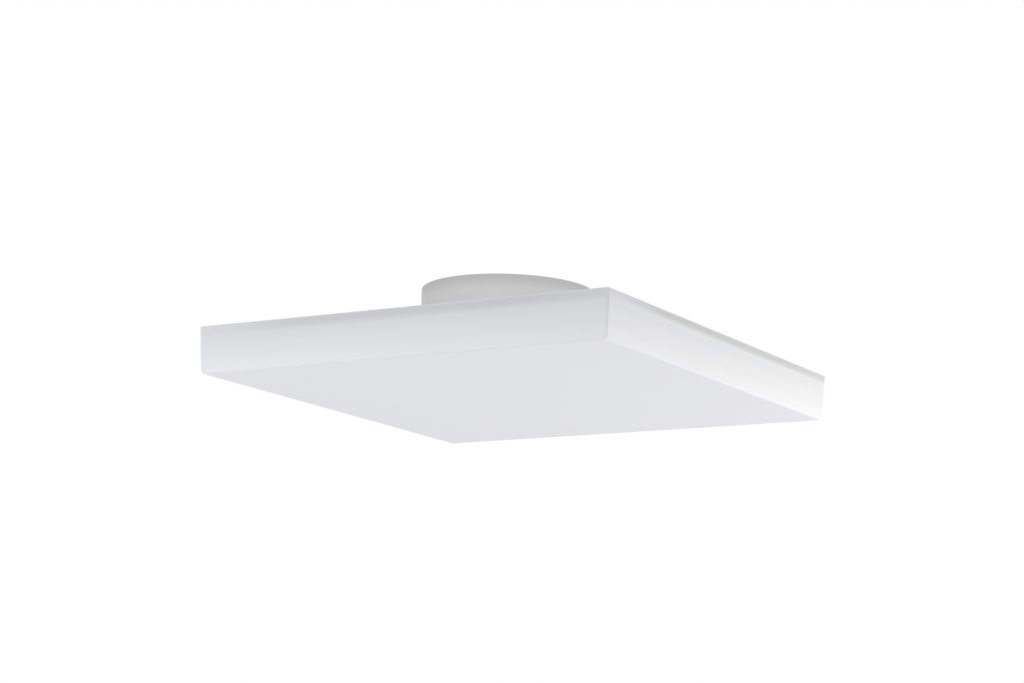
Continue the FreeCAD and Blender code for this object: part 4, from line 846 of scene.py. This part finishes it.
tray = bmesh.new()
outside = []
for inset, drop in bow((RIM_ROUND, RIM_ROUND), RIM_ROUND, 270, 180, 3):
    outside.append((RIM - inset, EDGE_ROUND - inset, drop))
for sink in (1.2 * MM, 9 * MM, 17 * MM, 25 * MM, DEPTH - EDGE_ROUND - 0.8 * MM):
    outside.append((RIM - sink * LEAN, EDGE_ROUND, sink))
foot = RIM - DEPTH * LEAN
for inset, drop in bow((EDGE_ROUND, DEPTH - EDGE_ROUND), EDGE_ROUND, 180, 90, 8):
    half = foot - inset + (DEPTH - drop) * LEAN * 0.9
    outside.append((half, max(EDGE_ROUND - inset * 0.9, 0.3 * MM), drop))
outside.append((foot - EDGE_ROUND - 1.5 * MM, 0.3 * MM, DEPTH))
inside = [(RIM - WALL - DEPTH * LEAN - 3 * MM, 0.2 * MM, DEPTH - WALL)]
for inset, rise in bow((1 * MM, 1 * MM), 1 * MM, 270, 180, 4):
    level_inside = DEPTH - WALL - rise
    half = RIM - WALL - level_inside * LEAN - inset
    inside.append((half, max(1 * MM - inset * 0.9, 0.2 * MM), level_inside))
inside += [(RIM - WALL - sink * LEAN, 1 * MM, sink) for sink in (DEPTH - WALL - 2 * MM, 16 * MM, 1.2 * MM)]
for inset, drop in bow((-RIM_ROUND, RIM_ROUND), RIM_ROUND, 0, -90, 3):
    inside.append((RIM - WALL - inset, 1 * MM - inset, drop))
rings = [[tray.verts.new((0, -CANOPY_OFFSET, PAN_TOP - DEPTH + WALL))]]
rings += [tray_ring(tray, *level) for level in inside + outside]
rings.append([tray.verts.new((0, -CANOPY_OFFSET, PAN_TOP - DEPTH))])
join_rings(tray, rings)
shelves = bmesh.new()
for quarter in range(4):
    place = Matrix.Translation((0, -CANOPY_OFFSET, 0)) @ Matrix.Rotation(quarter * math.pi / 2, 4, "Z")
    wall_face = RIM - WALL - 9 * MM * LEAN + 0.3 * MM
    for corner in bmesh.ops.create_cube(shelves, size=1)["verts"]:
        out = wall_face if corner.co.x > 0 else LEDGE_FACE
        level = LEDGE_TOP if corner.co.z > 0 else LEDGE_TOP - LEDGE_RISE
        corner.co = place @ Vector((out, corner.co.y * LEDGE_HALF * 2, level))
    for side in (-1, 1):
        web_top = LEDGE_TOP - LEDGE_RISE + 0.3 * MM
        web = [(LEDGE_FACE + 0.6 * MM, web_top), (wall_face, web_top)]
        web.append((wall_face - 8 * MM * LEAN, LEDGE_TOP - LEDGE_RISE - GUSSET_DROP))
        faces = []
        for y in (side * GUSSET_PLACE - GUSSET_HALF, side * GUSSET_PLACE + GUSSET_HALF):
            faces.append([shelves.verts.new(place @ Vector((x, y, z))) for x, z in web])
        join_rings(shelves, faces)
        shelves.faces.new(faces[0])
        shelves.faces.new(faces[1])
bmesh.ops.recalc_face_normals(shelves, faces=shelves.faces)
bmesh.ops.bevel(shelves, geom=shelves.edges, offset=0.2 * MM, segments=2, profile=0.5, affect="EDGES",
                clamp_overlap=True)
gather(tray, shelves)

# A painted highlight: a light line along the rim.
RIM_HIGHLIGHT_WHITE = (0.72, 0.725, 0.74)
# The two band greys are painted shade of the pan's flange standing behind the wall.
FLANGE_SHADE_GREY = (0.65, 0.658, 0.678)
FLANGE_SHADE_GREY_FRONT = (0.585, 0.59, 0.598)
# The upper, middle and lower whites paint the wall darker near the top and lighter towards the bottom:
# painted shade and painted glow.
UPPER_SHADE_WHITE = (0.775, 0.781, 0.799)
MIDDLE_WHITE = (0.82, 0.825, 0.845)
LOWER_GLOW_WHITE = (0.87, 0.875, 0.893)
# A painted highlight along the rounded lower edge.
EDGE_HIGHLIGHT_WHITE = (0.872, 0.877, 0.895)
UNDER_WHITE = (0.822, 0.826, 0.86)
opal, opal_shader = new_finish("opal_acrylic", specular_ior_level=0.4)
opal_tree = opal.node_tree
below_rim = number(opal, "SUBTRACT", PAN_TOP, place_along(opal, "Z"))
across_lamp = place_along(opal, "X")
along_lamp = number(opal, "ADD", place_along(opal, "Y"), CANOPY_OFFSET)
how_deep = number(opal, "DIVIDE", below_rim, DEPTH)
# Painted light: the wall darker near the top and lighter towards the lower edge.
painted_wall_light = tint(opal, how_deep, (0.28, UPPER_SHADE_WHITE), (0.55, MIDDLE_WHITE), (0.92, LOWER_GLOW_WHITE))
round_lamp = number(opal, "DIVIDE", number(opal, "ARCTAN2", along_lamp, across_lamp), math.pi / 2)
along_side = number(opal, "FRACT", number(opal, "ADD", round_lamp, 0.5))
near_start = spread(opal, along_side, 0.25, 1.0, 0.0, 0.24)
near_end = spread(opal, along_side, 1.0, 0.7, 0.86, 1.0)
from_x = number(opal, "ABSOLUTE", across_lamp)
from_y = number(opal, "ABSOLUTE", along_lamp)
off_corner = spread(opal, number(opal, "MINIMUM", from_x, from_y), 1.0, 0.2, 174 * MM, 176.5 * MM)
flange_near = number(opal, "MULTIPLY", number(opal, "MULTIPLY", near_start, near_end), off_corner)
front = number(opal, "GREATER_THAN", from_y, from_x)
narrower = number(opal, "ADD", number(opal, "MULTIPLY", front, 0.4), 1.0)
# Painted shade of the pan's flange behind the wall: a grey band below the rim, narrower and darker on the
# front and rear walls.
flange_shade_place = number(opal, "MULTIPLY", below_rim, narrower)
flange_shade = number(opal, "MULTIPLY", flange_near, spread(opal, flange_shade_place, 1.0, 0.0, 3.2 * MM, 10.5 * MM))
front_flange_shade = number(opal, "MULTIPLY", flange_shade, front)
# Painted highlights: a light line just below the rim, and a lighter band over the rounded lower edge.
rim_highlight = spread(opal, below_rim, 1.0, 0.0, 0.5 * MM, 1.3 * MM)
edge_highlight = spread(opal, below_rim, 0.0, 1.0, DEPTH - 3 * MM, DEPTH - 2 * MM)
at_foot = spread(opal, below_rim, 0.0, 1.0, DEPTH - 0.25 * MM, DEPTH - 0.03 * MM)
paint = painted_wall_light
for colour, cover in (
    (FLANGE_SHADE_GREY, flange_shade),
    (FLANGE_SHADE_GREY_FRONT, front_flange_shade),
    (RIM_HIGHLIGHT_WHITE, rim_highlight),
    (EDGE_HIGHLIGHT_WHITE, edge_highlight),
    (UNDER_WHITE, at_foot),
):
    paint = lay_over(opal, paint, colour, cover)
opal_tree.links.new(paint, opal_shader.inputs["Base Color"])
satin = clouds(opal, 0.6 * MM, detail=2.0)
opal_tree.links.new(spread(opal, satin, 0.40, 0.46), opal_shader.inputs["Roughness"])
emboss(opal, opal_shader, satin, 0.002 * MM)
finished(tray, "diffuser_tray", opal, body="diffuser", stands_for=["diffuser"], sharp=60)

# Room: a pale floor far below, and a sky of soft light. The sky is white where the camera, a gloss or
# a clear part looks at it, and lights the lamp more from behind and before it than from its sides.
FLOOR_LEVEL = -2.4
FLOOR_HALF = 6.0
floor_mesh = bpy.data.meshes.new("floor")
floor_signs = ((-1, -1), (1, -1), (1, 1), (-1, 1))
floor_corners = [(x * FLOOR_HALF, y * FLOOR_HALF, FLOOR_LEVEL) for x, y in floor_signs]
floor_mesh.from_pydata(floor_corners, [], [(0, 1, 2, 3)])
floor = bpy.data.objects.new("floor", floor_mesh)
bpy.context.scene.collection.objects.link(floor)
floor_paint, floor_shader = new_finish("floor_paint", roughness=0.7)
floor_shader.inputs["Base Color"].default_value = (0.85, 0.85, 0.85, 1)
floor_mesh.materials.append(floor_paint)

SKY_ABOVE = 0.70
SKY_UPPER = 1.35
SKY_LOWER = 0.48
SKY_BELOW = 0.25
SIDE_SHARE = 0.27
SIDEWAYS = (0.527, -0.850)
sky = bpy.data.worlds.new("sky")
bpy.context.scene.world = sky
sky.use_nodes = True
sky_tree = sky.node_tree
look = sky_tree.nodes.new("ShaderNodeSeparateXYZ")
direction = sky_tree.nodes.new("ShaderNodeTexCoord").outputs["Generated"]
sky_tree.links.new(direction, look.inputs["Vector"])
look_x, look_y, look_z = look.outputs
side_x = number(sky, "MULTIPLY", look_x, SIDEWAYS[0])
side_y = number(sky, "MULTIPLY", look_y, SIDEWAYS[1])
sideways = number(sky, "ADD", side_x, side_y)
flat = number(sky, "SUBTRACT", 1.0001, number(sky, "MULTIPLY", look_z, look_z))
to_side = number(sky, "DIVIDE", number(sky, "MULTIPLY", sideways, sideways), flat)
round_it = spread(sky, to_side, 1.0, SIDE_SHARE, 0.0, 1.0)
horizon = number(sky, "MULTIPLY", round_it, spread(sky, look_z, SKY_LOWER, SKY_UPPER, -0.08, 0.08))
is_above = spread(sky, look_z, 0.0, 1.0, 0.4, 0.6)
is_below = spread(sky, look_z, 1.0, 0.0, -0.6, -0.4)
in_middle = number(sky, "SUBTRACT", 1.0, number(sky, "ADD", is_above, is_below))
light = number(sky, "MULTIPLY", horizon, in_middle)
light = number(sky, "ADD", light, number(sky, "MULTIPLY", is_above, SKY_ABOVE))
light = number(sky, "ADD", light, number(sky, "MULTIPLY", is_below, SKY_BELOW))
ray = sky_tree.nodes.new("ShaderNodeLightPath")
seen = number(sky, "MAXIMUM", ray.outputs["Is Camera Ray"], ray.outputs["Is Glossy Ray"])
seen = number(sky, "MAXIMUM", seen, ray.outputs["Is Transmission Ray"])
unseen_light = number(sky, "MULTIPLY", light, number(sky, "SUBTRACT", 1.0, seen))
background = sky_tree.nodes["Background"]
background.inputs["Color"].default_value = (1, 1, 1, 1)
sky_tree.links.new(number(sky, "ADD", unseen_light, seen), background.inputs["Strength"])

# Soft boxes: one low on each side of the camera, a weak one below and one above, all aimed at the lamp.
# A gloss shows the upper one alone, because the low ones would whiten the lamp's underside.
LAMP_MIDDLE = Vector((0, 0, -0.06))
for name, place, width, power, colour in (
    ("soft_box_left", (-1.0, 0.65, -0.55), 0.7, 3.7, (0.96, 0.98, 1.0)),
    ("soft_box_right", (0.85, -1.05, -0.55), 0.7, 9.8, (1.0, 0.985, 0.955)),
    ("soft_box_below", (0.0, 0.0, -1.6), 1.0, 1.5, (1.0, 1.0, 1.0)),
    ("soft_box_above", (0.0, 0.0, 1.4), 1.0, 4.7, (1.0, 1.0, 1.0)),
):
    box_light = bpy.data.lights.new(name, "AREA")
    box_light.shape = "SQUARE"
    box_light.size = width
    box_light.energy = power
    box_light.color = colour
    soft_box = bpy.data.objects.new(name, box_light)
    soft_box.location = place
    soft_box.rotation_euler = (LAMP_MIDDLE - Vector(place)).to_track_quat("-Z", "Y").to_euler()
    soft_box.visible_camera = False
    soft_box.visible_glossy = name == "soft_box_above"
    bpy.context.scene.collection.objects.link(soft_box)

# Camera: the photograph's angle, from below and to the left, with a long lens. Its place, its angles
# and its lens were fitted to the edges of the diffuser in the photograph.
LENS_PIXELS = 2536.70
PICTURE_WIDTH = 1024
SENSOR_WIDTH = 36.0
CAMERA_PLACE = Vector((-1.65310, -1.03024, -0.42738))
YAW, PITCH, ROLL = 1.0154, 0.1969, 0.0343
ahead = Vector((math.sin(YAW) * math.cos(PITCH), math.cos(YAW) * math.cos(PITCH), math.sin(PITCH)))
right = Vector((math.cos(YAW), -math.sin(YAW), 0))
up = right.cross(ahead)
rolled_right = right * math.cos(ROLL) + up * math.sin(ROLL)
rolled_up = up * math.cos(ROLL) - right * math.sin(ROLL)
camera_data = bpy.data.cameras.new("camera")
camera_data.sensor_width = SENSOR_WIDTH
camera_data.lens = LENS_PIXELS / PICTURE_WIDTH * SENSOR_WIDTH
camera = bpy.data.objects.new("camera", camera_data)
turned = Matrix((rolled_right, rolled_up, -ahead)).transposed().to_4x4()
camera.matrix_world = Matrix.Translation(CAMERA_PLACE) @ turned
bpy.context.scene.collection.objects.link(camera)
bpy.context.scene.camera = camera
bpy.context.scene.view_settings.view_transform = "Standard"
